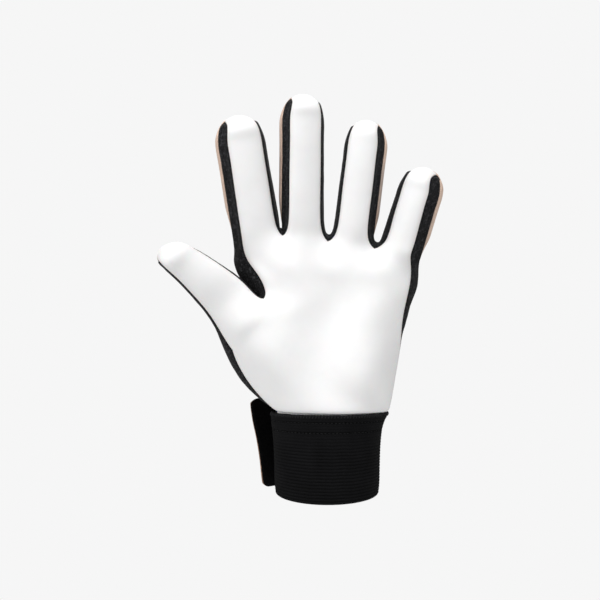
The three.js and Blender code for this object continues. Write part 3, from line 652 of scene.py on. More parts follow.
def add_weave(obj, around, up):
    """A UV map in metres that follows the cloth: around it and up it."""
    layer = obj.data.uv_layers.new(name="weave")
    corners = np.zeros(len(obj.data.loops), int)
    obj.data.loops.foreach_get("vertex_index", corners)
    layer.data.foreach_set("uv", (np.stack([around, up], -1)[corners] * MM).astype(np.float32).ravel())


def padded_offset(points, seam, fullness, radius, seed):
    """How far a padded panel's face stands off the skin: rounded along its seams and full between them."""
    edge = radius * (1 - np.sqrt(1 - (1 - np.clip(seam / radius, 0, 1)) ** 2))
    swell = fullness * (1 - np.exp(-((seam / FULL_REACH) ** 2)))
    uneven = UNEVEN * ripple(points, UNEVEN_SIZE, seed) * smoothstep(seam, 1, 5)
    return PANEL_PROUD + swell - edge + uneven


def beside_rolled_strip(points):
    """1 beside the strip that is rolled to a finger's front, fading to 0 at its ends and across its back."""
    found = np.zeros(len(points))
    for finger in FINGERS:
        side = -1 if finger["roll_a"] else 1
        start, reach = finger_line(finger, 0), finger_line(finger, 1) - finger_line(finger, 0)
        along = (points - start) @ reach / (reach @ reach)
        beside = points - start - along[:, None] * reach
        across = side * beside @ finger_axes(finger, 0.5)[0] / finger["width"]
        shaft = smoothstep(along, 0.05, 0.3) * (1 - smoothstep(along, 0.8, 0.97))
        found = np.maximum(found, shaft * smoothstep(across, 0.1, 0.35) * (across < 0.75))
    return found


def edge_roll(points, seam):
    """A soft roll of padding beside the rolled strip of each finger."""
    return EDGE_ROLL * beside_rolled_strip(points) * np.exp(-(((seam - ROLL_PLACE) / ROLL_WIDTH) ** 2))


def flex_lines(points, seam):
    """Pressed lines across the back of each finger that let it bend, 1 at their deepest."""
    depth = np.zeros(len(points))
    for finger in FINGERS:
        tip = unit(finger_line(finger, 1) - finger_line(finger, 0))
        for along in FLEX_PLACES:
            from_line = points - finger_line(finger, along)
            near = np.linalg.norm(from_line, axis=1) < finger["width"]
            depth = np.maximum(depth, np.exp(-(((from_line @ tip) / FLEX_WIDTH) ** 2)) * near)
    return depth * smoothstep(seam, 2.5, 4.5)


def quad_area(points, faces):
    """The area of the first faces of a mesh, all with four corners."""
    corners = points[np.array(faces)]
    return 0.5 * np.linalg.norm(
        np.cross(corners[:, 2] - corners[:, 0], corners[:, 3] - corners[:, 1]), axis=1).sum()


def rim_length(panel):
    """The length of all seams of a panel."""
    points, _, _, _ = glove_skin()
    return sum(np.linalg.norm(points[b] - points[a]) for a, b in rim_edges(panel_faces(panel)))


def band_length(degrees):
    """The length of an angle along the band."""
    return degrees * np.pi * CUFF_WIDTH / 360


def both_sides(values):
    """Values of a plate's grid for the points of its outer and its inner face."""
    return np.concatenate([values.ravel()] * 2)


def plate_mesh(angle, height, off, thickness, rim, relief=0):
    """A bent plate on the cuff's back with rounded edges. The outer face comes first."""
    half = thickness / 2
    round_off = half * (1 - np.sqrt(1 - (1 - np.clip(rim / half, 0, 1)) ** 2)) * PLATE_ROUND
    outer = cuff_points(angle, height, off + thickness - round_off + relief)
    inner = cuff_points(angle, height, off + round_off)
    count = angle.size
    number = np.arange(count).reshape(angle.shape)
    a, b, c, d = number[:-1, :-1], number[:-1, 1:], number[1:, 1:], number[1:, :-1]
    quads = np.stack([a, d, c, b], -1).reshape(-1, 4)
    border = [*number[:-1, 0], *number[-1, :-1], *number[:0:-1, -1], *number[0, :0:-1]]
    walls = [(p, q, q + count, p + count) for p, q in zip(border, border[1:] + border[:1])]
    faces = [*quads.tolist(), *(quads[:, ::-1] + count).tolist(), *[tuple(map(int, w)) for w in walls]]
    return np.concatenate([outer.reshape(-1, 3), inner.reshape(-1, 3)]), faces


# Materials


class Nodes:
    """The node tree of one material, with short calls to add to it."""

    def __init__(self, name):
        self.material = bpy.data.materials.new(name)
        self.material.use_nodes = True
        self.tree = self.material.node_tree
        self.shader = self.tree.nodes["Principled BSDF"]

    def add(self, kind, values=None, **settings):
        node = self.tree.nodes.new("ShaderNode" + kind)
        for name, value in settings.items():
            setattr(node, name, value)
        for name, value in (values or {}).items():
            node.inputs[name].default_value = value
        return node

    def link(self, source, target):
        self.tree.links.new(source, target)

    def set(self, **values):
        for name, value in values.items():
            self.shader.inputs[name.replace("_", " ")].default_value = value

    def ramp(self, source, stops):
        node = self.add("ValToRGB")
        elements = node.color_ramp.elements
        while len(elements) < len(stops):
            elements.new(0.5)
        for element, (place, colour) in zip(elements, stops):
            element.position = place
            element.color = (*colour, 1) if len(colour) == 3 else colour
        self.link(source, node.inputs["Fac"])
        return node.outputs["Color"]

    def blend(self, factor, first, second, kind="MIX"):
        node = self.add("Mix", data_type="RGBA", blend_type=kind)
        for value, place in ((factor, 0), (first, 6), (second, 7)):
            if isinstance(value, bpy.types.NodeSocket):
                self.link(value, node.inputs[place])
            else:
                node.inputs[place].default_value = value
        return node.outputs[2]

    def texture(self, kind, place, values=None, **settings):
        node = self.add("Tex" + kind, values, **settings)
        self.link(place, node.inputs["Vector"])
        return node

    def bump(self, height, strength, distance, under=None):
        node = self.add("Bump", {"Strength": strength, "Distance": distance})
        self.link(height, node.inputs["Height"])
        if under is not None:
            self.link(under, node.inputs["Normal"])
        return node.outputs["Normal"]

    def finish(self, colour=None, normal=None, roughness=None):
        for source, name in ((colour, "Base Color"), (normal, "Normal"), (roughness, "Roughness")):
            if source is not None:
                self.link(source, self.shader.inputs[name])
        return self.material

    def measure(self, name):
        """A number stored at the mesh's points."""
        return self.add("Attribute", attribute_name=name).outputs["Fac"]

    @property
    def place(self):
        return self.add("TexCoord").outputs["Object"]

    @property
    def weave(self):
        return self.add("UVMap", uv_map="weave").outputs["UV"]


def grey(level):
    return (level, level, level)


def toned(colour, share):
    return tuple(min(channel * share, 1) for channel in colour[:3])


def latex_look(colour):
    """Smooth grip foam: fine pores, soft mottling and painted shade, grey with a warm tint, along the seams."""
    n = Nodes("smooth_latex")
    place = n.place
    cloudy = n.texture("Noise", place, {"Scale": 70, "Detail": 3, "Roughness": 0.55})
    base = n.ramp(cloudy.outputs["Fac"], [(0.32, toned(colour, 0.975)), (0.66, colour)])
    # Painted shade: the foam turns grey with a warm tint within about three millimetres of its seams.
    seam = n.measure("seam")
    edge = n.ramp(seam, [(0.0, (0.80, 0.755, 0.735)), (0.10, (0.93, 0.905, 0.895)), (0.28, (1, 1, 1))])
    base = n.blend(1.0, base, edge, "MULTIPLY")
    pores = n.texture("Noise", place, {"Scale": 3100, "Detail": 2, "Roughness": 0.6})
    soft = n.texture("Noise", place, {"Scale": 260, "Detail": 3, "Roughness": 0.5})
    normal = n.bump(soft.outputs["Fac"], 0.10, 0.0005)
    normal = n.bump(pores.outputs["Fac"], 0.16, 0.00008, normal)
    rough = n.ramp(pores.outputs["Fac"], [(0.3, grey(0.52)), (0.7, grey(0.64))])
    n.set(Specular_IOR_Level=0.3, Subsurface_Weight=0.06, Subsurface_Scale=0.0015, Sheen_Weight=0.08,
          Sheen_Roughness=0.6)
    return n.finish(base, normal, rough)


def print_look(light, dark, streak):
    """Brushed cloth over foam with a soft marbled print and grey streaks."""
    n = Nodes("printed_cloth")
    place = n.place
    stretch = n.add("Mapping", {"Scale": (1.0, 1.0, 0.38), "Rotation": (0, 0.45, 0)})
    n.link(place, stretch.inputs["Vector"])
    marbled = n.texture("Noise", stretch.outputs["Vector"],
                        {"Scale": 55, "Detail": 5, "Roughness": 0.55, "Distortion": 0.8})
    base = n.ramp(marbled.outputs["Fac"],
                  [(0.32, dark), (0.47, light), (0.62, toned(light, 1.08)), (0.76, dark)])
    lines = n.texture("Wave", stretch.outputs["Vector"],
                      {"Scale": 9, "Distortion": 6, "Detail": 3, "Detail Scale": 1.6},
                      bands_direction="DIAGONAL")
    mask = n.ramp(lines.outputs["Fac"], [(0.84, grey(0.0)), (1.0, grey(0.5))])
    base = n.blend(mask, base, (*streak, 1))
    threads = n.texture("Voronoi", place, {"Scale": 1500})
    shade = n.ramp(threads.outputs["Distance"], [(0.0, grey(1.0)), (0.75, grey(0.80))])
    base = n.blend(1.0, base, shade, "MULTIPLY")
    normal = n.bump(threads.outputs["Distance"], 0.35, 0.00012)
    rough = n.ramp(threads.outputs["Distance"], [(0, grey(0.66)), (0.7, grey(0.82))])
    n.set(Specular_IOR_Level=0.25, Sheen_Weight=0.25, Sheen_Roughness=0.5)
    return n.finish(base, normal, rough)


def knit_look(colour):
    """Fine stretch knit with tiny open cells and a few lighter fibres."""
    n = Nodes("stretch_knit")
    place = n.place
    cells = n.texture("Voronoi", place, {"Scale": 1150, "Randomness": 0.55})
    lift = n.texture("Noise", place, {"Scale": 520, "Detail": 4, "Roughness": 0.7})
    base = n.ramp(cells.outputs["Distance"],
                  [(0.0, toned(colour, 2.6)), (0.32, toned(colour, 1.3)), (0.7, toned(colour, 0.35))])
    flecks = n.ramp(lift.outputs["Fac"], [(0.52, grey(0.0)), (0.66, grey(0.75))])
    base = n.blend(flecks, base, (*toned(colour, 5.0), 1))
    normal = n.bump(cells.outputs["Distance"], 0.7, 0.0002)
    normal = n.bump(lift.outputs["Fac"], 0.3, 0.0003, normal)
    rough = n.ramp(lift.outputs["Fac"], [(0.3, grey(0.74)), (0.7, grey(0.9))])
    n.set(Specular_IOR_Level=0.1, Sheen_Weight=0.04, Sheen_Roughness=0.45)
    return n.finish(base, normal, rough)


def elastic_look(colour):
    """Woven elastic: fine upright cords between its ribs, painted shade in the grooves and sewn rows, lighter
    on the rib crests, with stray light fibres.
    """
    n = Nodes("ribbed_elastic")
    weave = n.weave
    cords = n.texture("Wave", weave, {"Scale": 390, "Distortion": 0.8, "Detail": 1, "Detail Scale": 1.5},
                      bands_direction="X")
    fuzz = n.texture("Noise", weave, {"Scale": 900, "Detail": 3, "Roughness": 0.7})
    wide = n.texture("Noise", weave, {"Scale": 60, "Detail": 2})
    # Painted shade: the elastic is darkest in the rib grooves and sewn rows and lighter on the rib crests.
    rib_shade = n.measure("rib_shade")
    base = n.ramp(rib_shade, [(0.0, toned(colour, 0.3)), (1.0, toned(colour, 1.7))])
    patch = n.ramp(wide.outputs["Fac"], [(0.35, grey(0.72)), (0.7, grey(1.0))])
    base = n.blend(1.0, base, patch, "MULTIPLY")
    flecks = n.ramp(fuzz.outputs["Fac"], [(0.74, grey(0.0)), (0.80, grey(0.5))])
    base = n.blend(flecks, base, (0.05, 0.05, 0.052, 1))
    normal = n.bump(cords.outputs["Fac"], 0.45, 0.00016)
    normal = n.bump(fuzz.outputs["Fac"], 0.25, 0.0002, normal)
    rough = n.ramp(fuzz.outputs["Fac"], [(0.3, grey(0.7)), (0.7, grey(0.9))])
    n.set(Specular_IOR_Level=0.05, Sheen_Weight=0.01, Sheen_Roughness=0.5)
    return n.finish(base, normal, rough)


def strap_look(colour, trim):
    """Brushed loop fabric, with the printed face showing as a thin line along its outer edge."""
    n = Nodes("brushed_strap")
    weave = n.weave
    loops = n.texture("Voronoi", weave, {"Scale": 1300, "Randomness": 0.8})
    nap = n.texture("Noise", weave, {"Scale": 420, "Detail": 5, "Roughness": 0.75})
    base = n.ramp(loops.outputs["Distance"], [(0.0, toned(colour, 1.8)), (0.6, toned(colour, 0.4))])
    trimmed = n.measure("trim")
    worn = n.texture("Noise", weave, {"Scale": 240, "Detail": 2})
    amount = n.ramp(worn.outputs["Fac"], [(0.35, grey(0.35)), (0.6, grey(1.0))])
    amount = n.blend(1.0, amount, trimmed, "MULTIPLY")
    base = n.blend(amount, base, (*trim, 1))
    normal = n.bump(loops.outputs["Distance"], 0.6, 0.0002)
    normal = n.bump(nap.outputs["Fac"], 0.4, 0.0003, normal)
    rough = n.ramp(nap.outputs["Fac"], [(0.3, grey(0.78)), (0.7, grey(0.95))])
    n.set(Specular_IOR_Level=0.06, Sheen_Weight=0.02, Sheen_Roughness=0.4)
    return n.finish(base, normal, rough)


def hook_look(colour):
    """Moulded nylon hook tape."""
    n = Nodes("hook_tape")
    weave = n.weave
    scratches = n.texture("Noise", weave, {"Scale": 700, "Detail": 3})
    base = n.ramp(scratches.outputs["Fac"], [(0.3, toned(colour, 0.6)), (0.7, toned(colour, 1.6))])
    normal = n.bump(scratches.outputs["Fac"], 0.2, 0.0001)
    rough = n.ramp(scratches.outputs["Fac"], [(0.3, grey(0.4)), (0.7, grey(0.6))])
    n.set(Specular_IOR_Level=0.4)
    return n.finish(base, normal, rough)


def thread_look(colour):
    """Twisted polyester sewing thread."""
    n = Nodes("sewing_thread")
    twist = n.texture("Wave", n.place, {"Scale": 900, "Distortion": 2, "Detail": 1}, bands_direction="DIAGONAL")
    base = n.ramp(twist.outputs["Fac"], [(0.2, toned(colour, 0.7)), (0.8, toned(colour, 1.7))])
    normal = n.bump(twist.outputs["Fac"], 0.5, 0.00008)
    n.set(Roughness=0.7, Specular_IOR_Level=0.12, Sheen_Weight=0.03)
    return n.finish(base, normal)


def floor_look(colour):
    """Pale paper that fades into the pale surroundings away from the glove."""
    n = Nodes("pale_floor")
    place = n.place
    grain = n.texture("Noise", place, {"Scale": 900, "Detail": 2})
    base = n.ramp(grain.outputs["Fac"], [(0.3, toned(colour, 0.99)), (0.7, colour)])
    n.set(Roughness=0.9, Specular_IOR_Level=0.1)
    n.link(base, n.shader.inputs["Base Color"])
    glow = n.add("Emission", {"Color": (*colour, 1), "Strength": 1.0})
    pale = n.add("MixShader", {"Fac": 0.85})
    n.link(n.shader.outputs["BSDF"], pale.inputs[1])
    n.link(glow.outputs["Emission"], pale.inputs[2])
    reach = n.add("VectorMath", operation="LENGTH")
    n.link(place, reach.inputs[0])
    fade = n.ramp(reach.outputs["Value"], [(0.3, grey(0.0)), (0.95, grey(1.0))])
    clear = n.add("BsdfTransparent")
    whole = n.add("MixShader")
    n.link(fade, whole.inputs["Fac"])
    n.link(pale.outputs["Shader"], whole.inputs[1])
    n.link(clear.outputs["BSDF"], whole.inputs[2])
    n.link(whole.outputs["Shader"], n.tree.nodes["Material Output"].inputs["Surface"])
    return n.material


# Sizes and colours that can be changed in the sidebar


def colour_property(name, description, default):
    return bpy.props.FloatVectorProperty(name=name, description=description, default=default, size=3,
                                         min=0, max=1, subtype="COLOR")


def length_property(name, description, default):
    return bpy.props.FloatProperty(name=name, description=description, default=default * MM, min=0,
                                   unit="LENGTH", subtype="DISTANCE", precision=5)


class GlovePanelSettings(bpy.types.PropertyGroup):
    latex_colour: colour_property("Latex", "Colour of the palm", (0.945, 0.942, 0.942))
    latex_fullness: length_property("Latex fullness", "How far the palm swells between its seams", 0.45)
    print_colour: colour_property("Print, light", "Light colour of the backhand's print", (0.80, 0.60, 0.48))
    print_shade: colour_property("Print, dark", "Dark colour of the backhand's print", (0.60, 0.42, 0.33))
    streak_colour: colour_property("Print, streaks", "Colour of the streaks in the print", (0.38, 0.34, 0.32))
    back_fullness: length_property("Backhand fullness", "How far the backhand swells between its seams", 1.1)
    knit_colour: colour_property("Knit", "Colour of the strips between the panels", (0.0125, 0.0125, 0.0135))
    edge_radius: length_property("Edge radius", "Rounding of the padded panels along their seams", 0.75)


class GloveSeamSettings(bpy.types.PropertyGroup):
    thread_colour: colour_property("Thread", "Colour of the sewing thread", (0.007, 0.007, 0.0076))
    seam_radius: length_property("Seam", "Radius of the overlocked seam", 0.3)
    loop_pitch: length_property("Loop pitch", "Distance between the seam's loops", 1.7)
    stitch_pitch: length_property("Stitch pitch", "Distance between the backhand's stitches", 3.1)


class GloveCuffSettings(bpy.types.PropertyGroup):
    elastic_colour: colour_property("Elastic", "Colour of the cuff", (0.0042, 0.0042, 0.0046))
    rib_pitch: length_property("Rib pitch", "Distance between the elastic's ribs", 1.8)
    rib_depth: length_property("Rib depth", "Depth of the grooves between the ribs", 0.42)
    strap_colour: colour_property("Strap", "Colour of the closing strap", (0.0045, 0.0045, 0.005))
    trim_colour: colour_property("Strap edge", "Colour of the line along the strap's edge", (0.50, 0.31, 0.22))


class GloveStageSettings(bpy.types.PropertyGroup):
    floor_colour: colour_property("Floor", "Colour of the floor and the surroundings", (0.922, 0.922, 0.922))
    floor_drop: length_property("Floor drop", "How far the floor lies below the glove", 320)
    key_power: bpy.props.FloatProperty(name="Key light", description="Strength of the light above the camera",
                                       default=16.3, min=0, unit="POWER")
    fill_power: bpy.props.FloatProperty(name="Fill lights", description="Strength of the lights at the sides",
                                        default=0.8, min=0, unit="POWER")
    distance: length_property("Camera distance", "From the camera to the glove", 800)
    lens: bpy.props.FloatProperty(name="Lens", description="Focal length", default=78.17, min=10, unit="CAMERA")


# Operators


class GLOVE_OT_palm(bpy.types.Operator):
    """Adds the white latex palm, one piece with the fronts of the fingers and thumb"""

    bl_idname = "glove.palm"
    bl_label = "Palm"

    def execute(self, context):
        settings = context.scene.glove_panels
        fullness, radius = settings.latex_fullness / MM, settings.edge_radius / MM

        def offset(points, seam):
            return padded_offset(points, seam, fullness, radius, seed=1)

        points, faces, seam = wall_mesh("palm_panel", LATEX_THICKNESS, offset)
        obj = new_object("palm", points, faces, latex_look(tuple(settings.latex_colour)))
        # The seam attribute sets the palm's painted shade along its seams.
        add_values(obj, "seam", seam / SEAM_MARK_REACH)
        dress(obj, "latex", "palm_panel")
        return {"FINISHED"}


class GLOVE_OT_backhand(bpy.types.Operator):
    """Adds the printed padded back of the hand and fingers"""

    bl_idname = "glove.backhand"
    bl_label = "Backhand"

    def execute(self, context):
        settings = context.scene.glove_panels
        fullness, radius = settings.back_fullness / MM, settings.edge_radius / MM

        def offset(points, seam):
            groove = GROOVE_DEPTH * np.exp(-(((seam - STITCH_LINE) / GROOVE_WIDTH) ** 2))
            full = padded_offset(points, seam, fullness, radius, seed=2) + edge_roll(points, seam)
            return full - groove - FLEX_DEPTH * flex_lines(points, seam)

        def overhang(points, seam):
            return EDGE_OVERHANG * beside_rolled_strip(points) * np.exp(-((seam / OVERHANG_REACH) ** 2))

        points, faces, seam = wall_mesh("backhand_panel", BACK_THICKNESS, offset, overhang)
        colours = (settings.print_colour, settings.print_shade, settings.streak_colour)
        obj = new_object("backhand", points, faces, print_look(*(tuple(colour) for colour in colours)))
        dress(obj, "printed_foam", "backhand_panel")
        return {"FINISHED"}


class GLOVE_OT_gussets(bpy.types.Operator):
    """Adds the black knit strips between the palm and the backhand"""

    bl_idname = "glove.gussets"
    bl_label = "Knit strips"

    def execute(self, context):
        look = knit_look(tuple(context.scene.glove_panels.knit_colour))
        for name in GUSSETS:
            def offset(points, seam):
                swell = STRIP_SWELL * (1 - np.exp(-((seam / STRIP_SWELL_REACH) ** 2)))
                uneven = STRIP_UNEVEN * ripple(points, STRIP_UNEVEN_SIZE, 3) * smoothstep(seam, 0, 2)
                return swell - GUSSET_SUNK + uneven

            points, faces, _ = wall_mesh(name, GUSSET_THICKNESS, offset)
            obj = new_object(name.replace("gusset", "strip"), points, faces, look)
            dress(obj, "knit", name)
            area = quad_area(points, faces[: len(panel_faces(name))])
            length = rim_length(name) / 2
        return {"FINISHED"}


class GLOVE_OT_seams(bpy.types.Operator):
    """Adds the overlocked seams round both padded panels and the stitches on the backhand"""

    bl_idname = "glove.seams"
    bl_label = "Seams"

    def execute(self, context):
        settings = context.scene.glove_seams
        look = thread_look(tuple(settings.thread_colour))
        points, normals, _, _ = glove_skin()
        palm = rim_edges(panel_faces("palm_panel"))
        shared = {point for edge in palm for point in edge}
        back = [edge for edge in rim_edges(panel_faces("backhand_panel")) if not shared.issuperset(edge)]
        pitch, radius = settings.loop_pitch / MM, settings.seam_radius / MM
        for name, edges in (("palm_seam", palm), ("backhand_seam", back)):
            parts = []
            for run in runs_above(CUFF_HEIGHT + SEAM_START, edges, points, SEAM_SHORTEST):
                even, places = resampled(np.concatenate([points[run], normals[run]], 1), pitch / LOOP_STEPS)
                line, out = even[:, :3], unit(even[:, 3:])
                loops = np.abs(np.sin(np.pi * places / pitch))
                across = unit(np.cross(unit(np.gradient(line, axis=0)), out))
                wander = LOOP_SWING * np.sin(2 * np.pi * places / pitch)[:, None] * across
                seat = line + wander + across * SEAM_SHIFT - out * SEAM_SINK
                parts.append(thread(seat, out, radius * (LOOP_RADIUS[0] + LOOP_RADIUS[1] * loops)))
            dress(new_object(name, *joined(parts), look), "knit")
        self.sew_backhand(context, look, points, normals, back)
        return {"FINISHED"}

    def sew_backhand(self, context, look, points, normals, edges):
        """Stitches that follow the backhand's edge a little way in."""
        cloth = bpy.data.objects.get("backhand")
        if cloth is None:
            raise RuntimeError("the stitches need the backhand: add it first")
        surface = bvhtree.BVHTree.FromPolygons(
            [v.co for v in cloth.data.vertices], [tuple(p.vertices) for p in cloth.data.polygons])
        parts = []
        pitch = context.scene.glove_seams.stitch_pitch / MM
        for run in runs_above(CUFF_HEIGHT + BACK_STITCH_START, edges, points, BACK_STITCH_SHORTEST):
            line, _ = resampled(np.concatenate([points[run], normals[run]], 1), BACK_STITCH_STEP)
            along = unit(np.gradient(line[:, :3], axis=0))
            inside = line[:, :3] + np.cross(unit(line[:, 3:]), along) * STITCH_LINE
            for _ in range(BACK_STITCH_SMOOTHINGS):
                inside[1:-1] = (inside[:-2] + 2 * inside[1:-1] + inside[2:]) / 4
            seat, out = [], []
            for point, normal in zip(inside, line[:, 3:]):
                found, facing, _, _ = surface.find_nearest(Vector(point + normal) * MM)
                seat.append(np.array(found) / MM)
                out.append(np.array(facing))
            parts += stitches(np.array(seat), np.array(out), pitch, **BACK_STITCH)
        dress(new_object("backhand_stitches", *joined(parts), look), "printed_foam")


class GLOVE_OT_cuff(bpy.types.Operator):
    """Adds the ribbed elastic cuff with its two sewn rows and its bound upper edge"""

    bl_idname = "glove.cuff"
    bl_label = "Cuff"

    def execute(self, context):
        settings = context.scene.glove_cuff
        pitch, depth = settings.rib_pitch / MM, settings.rib_depth / MM
        angles = np.linspace(0, 360, CUFF_COLUMNS, endpoint=False)
        profile, outer_rows = self.profile(pitch / RIB_STEPS)
        height, outward = np.meshgrid(profile[:, 0], angles, indexing="ij")[0], profile[:, 1][:, None]
        around = np.broadcast_to(band_length(angles), height.shape)
        outer_face = (np.arange(len(profile)) < outer_rows)[:, None]
        places = np.linspace(0, 2 * np.pi, WOBBLE_PLACES)
        ring = [(math.cos(place), math.sin(place), 0) for place in places[:-1]]
        wobble = np.interp(angles, np.degrees(places), np.append(ripple(ring, WOBBLE_SIZE, 4), 0))
        crest = np.abs(np.sin(np.pi * (height + RIB_WOBBLE * wobble) / pitch)) ** RIB_POWER
        dip = depth * mix(1.0, RIB_LOW_SHARE, smoothstep(height, *RIB_FADE)) * (1 - crest)
        pull = ROW_DEPTH + ROW_PULL * (0.5 + 0.5 * np.cos(2 * np.pi * around / CUFF_STITCH["pitch"]))
        for row in STITCH_ROWS:
            dip = dip + np.exp(-(((height - row) / ROW_WIDTH) ** 2)) * pull
        dip = np.where(outer_face, dip, 0)
        bulge = CUFF_BULGE * np.sin(np.pi * np.clip(height / CUFF_BULGE_HEIGHT, 0, 1))
        bulge = np.where(outer_face, bulge, 0)
        points = cuff_points(np.broadcast_to(angles, height.shape), height, outward + bulge - dip)
        uneven = smoothstep(height, CUFF_HEIGHT - EDGE_WOBBLE_HEIGHT, CUFF_HEIGHT)
        points[..., 2] += EDGE_WOBBLE * wobble * uneven
        a = np.arange(height.size).reshape(height.shape)
        b = np.roll(a, -1, 1)
        c, d = np.roll(b, -1, 0), np.roll(a, -1, 0)
        faces = np.stack([a, b, c, d], -1).reshape(-1, 4).tolist()
        obj = new_object("cuff", points.reshape(-1, 3), faces, elastic_look(tuple(settings.elastic_colour)))
        # This attribute sets the painted shade of the band: 0 in the grooves and sewn rows, 1 on the rib
        # crests.
        add_values(obj, "rib_shade", np.clip(1 - dip / RIB_SHADE_DEPTH, 0, 1).ravel())
        add_weave(obj, around.ravel(), height.ravel())
        dress(obj, "elastic", "cuff_band")
        middle = cuff_points(np.linspace(0, 360, 200), CUFF_HEIGHT / 2, 0)
        self.bind_edge(context)
        return {"FINISHED"}

    @staticmethod
    def profile(pitch):
        """Heights and distances outward round the band's wall, and how many of them are on its outer face."""
        heights = np.arange(RIB_ROUND, CUFF_HEIGHT - RIB_ROUND, pitch)
        turn = np.linspace(0, np.pi / 2, CUFF_ROUND_STEPS)
        lower = [(RIB_ROUND * (1 - np.cos(a)), RIB_ROUND * (np.sin(a) - 1)) for a in turn[:-1]]
        upper = [(CUFF_HEIGHT - RIB_ROUND * (1 - np.sin(a)), RIB_ROUND * (np.cos(a) - 1)) for a in turn]
        inner = [(h, -BAND_THICKNESS) for h in np.linspace(CUFF_HEIGHT - 0.6, 0.6, CUFF_INNER_ROWS)]
        return np.array([*lower, *((h, 0) for h in heights), *upper, *inner]), len(lower) + len(heights)

    def bind_edge(self, context):
        """Thread over the upper edge and along the two sewn rows."""
        look = thread_look(tuple(toned(context.scene.glove_seams.thread_colour, 1.5)))
        turn = np.linspace(0, 360, BIND_LOOPS * BIND_STEPS + 1)
        swing = 0.5 - 0.5 * np.cos(np.radians(turn * BIND_LOOPS))
        uneven = ripple([(i, 0, 0) for i in range(BIND_PLACES)], 1.7, 6)
        reach = BIND_REACH + BIND_UNEVEN * np.interp(turn, np.linspace(0, 360, BIND_PLACES), uneven)
        over = np.radians(mix(*BIND_SWEEP, swing))
        outward = -BAND_THICKNESS / 2 + (BAND_THICKNESS / 2 + BIND_PROUD) * np.cos(over)
        seat = CUFF_HEIGHT - BIND_SINK
        edge = cuff_points(turn, seat + reach * np.sin(over), outward)
        out = unit(edge - cuff_points(turn, seat, -BAND_THICKNESS / 2))
        parts = [thread(edge, out, BIND_RADIUS)]
        ring = np.linspace(0, 360, 400)
        for row in STITCH_ROWS:
            line = cuff_points(ring, row, -0.35)
            away = unit(cuff_points(ring, row, 1) - line)
            parts += stitches(line, away, **CUFF_STITCH)
        dress(new_object("cuff_threads", *joined(parts), look), "elastic")


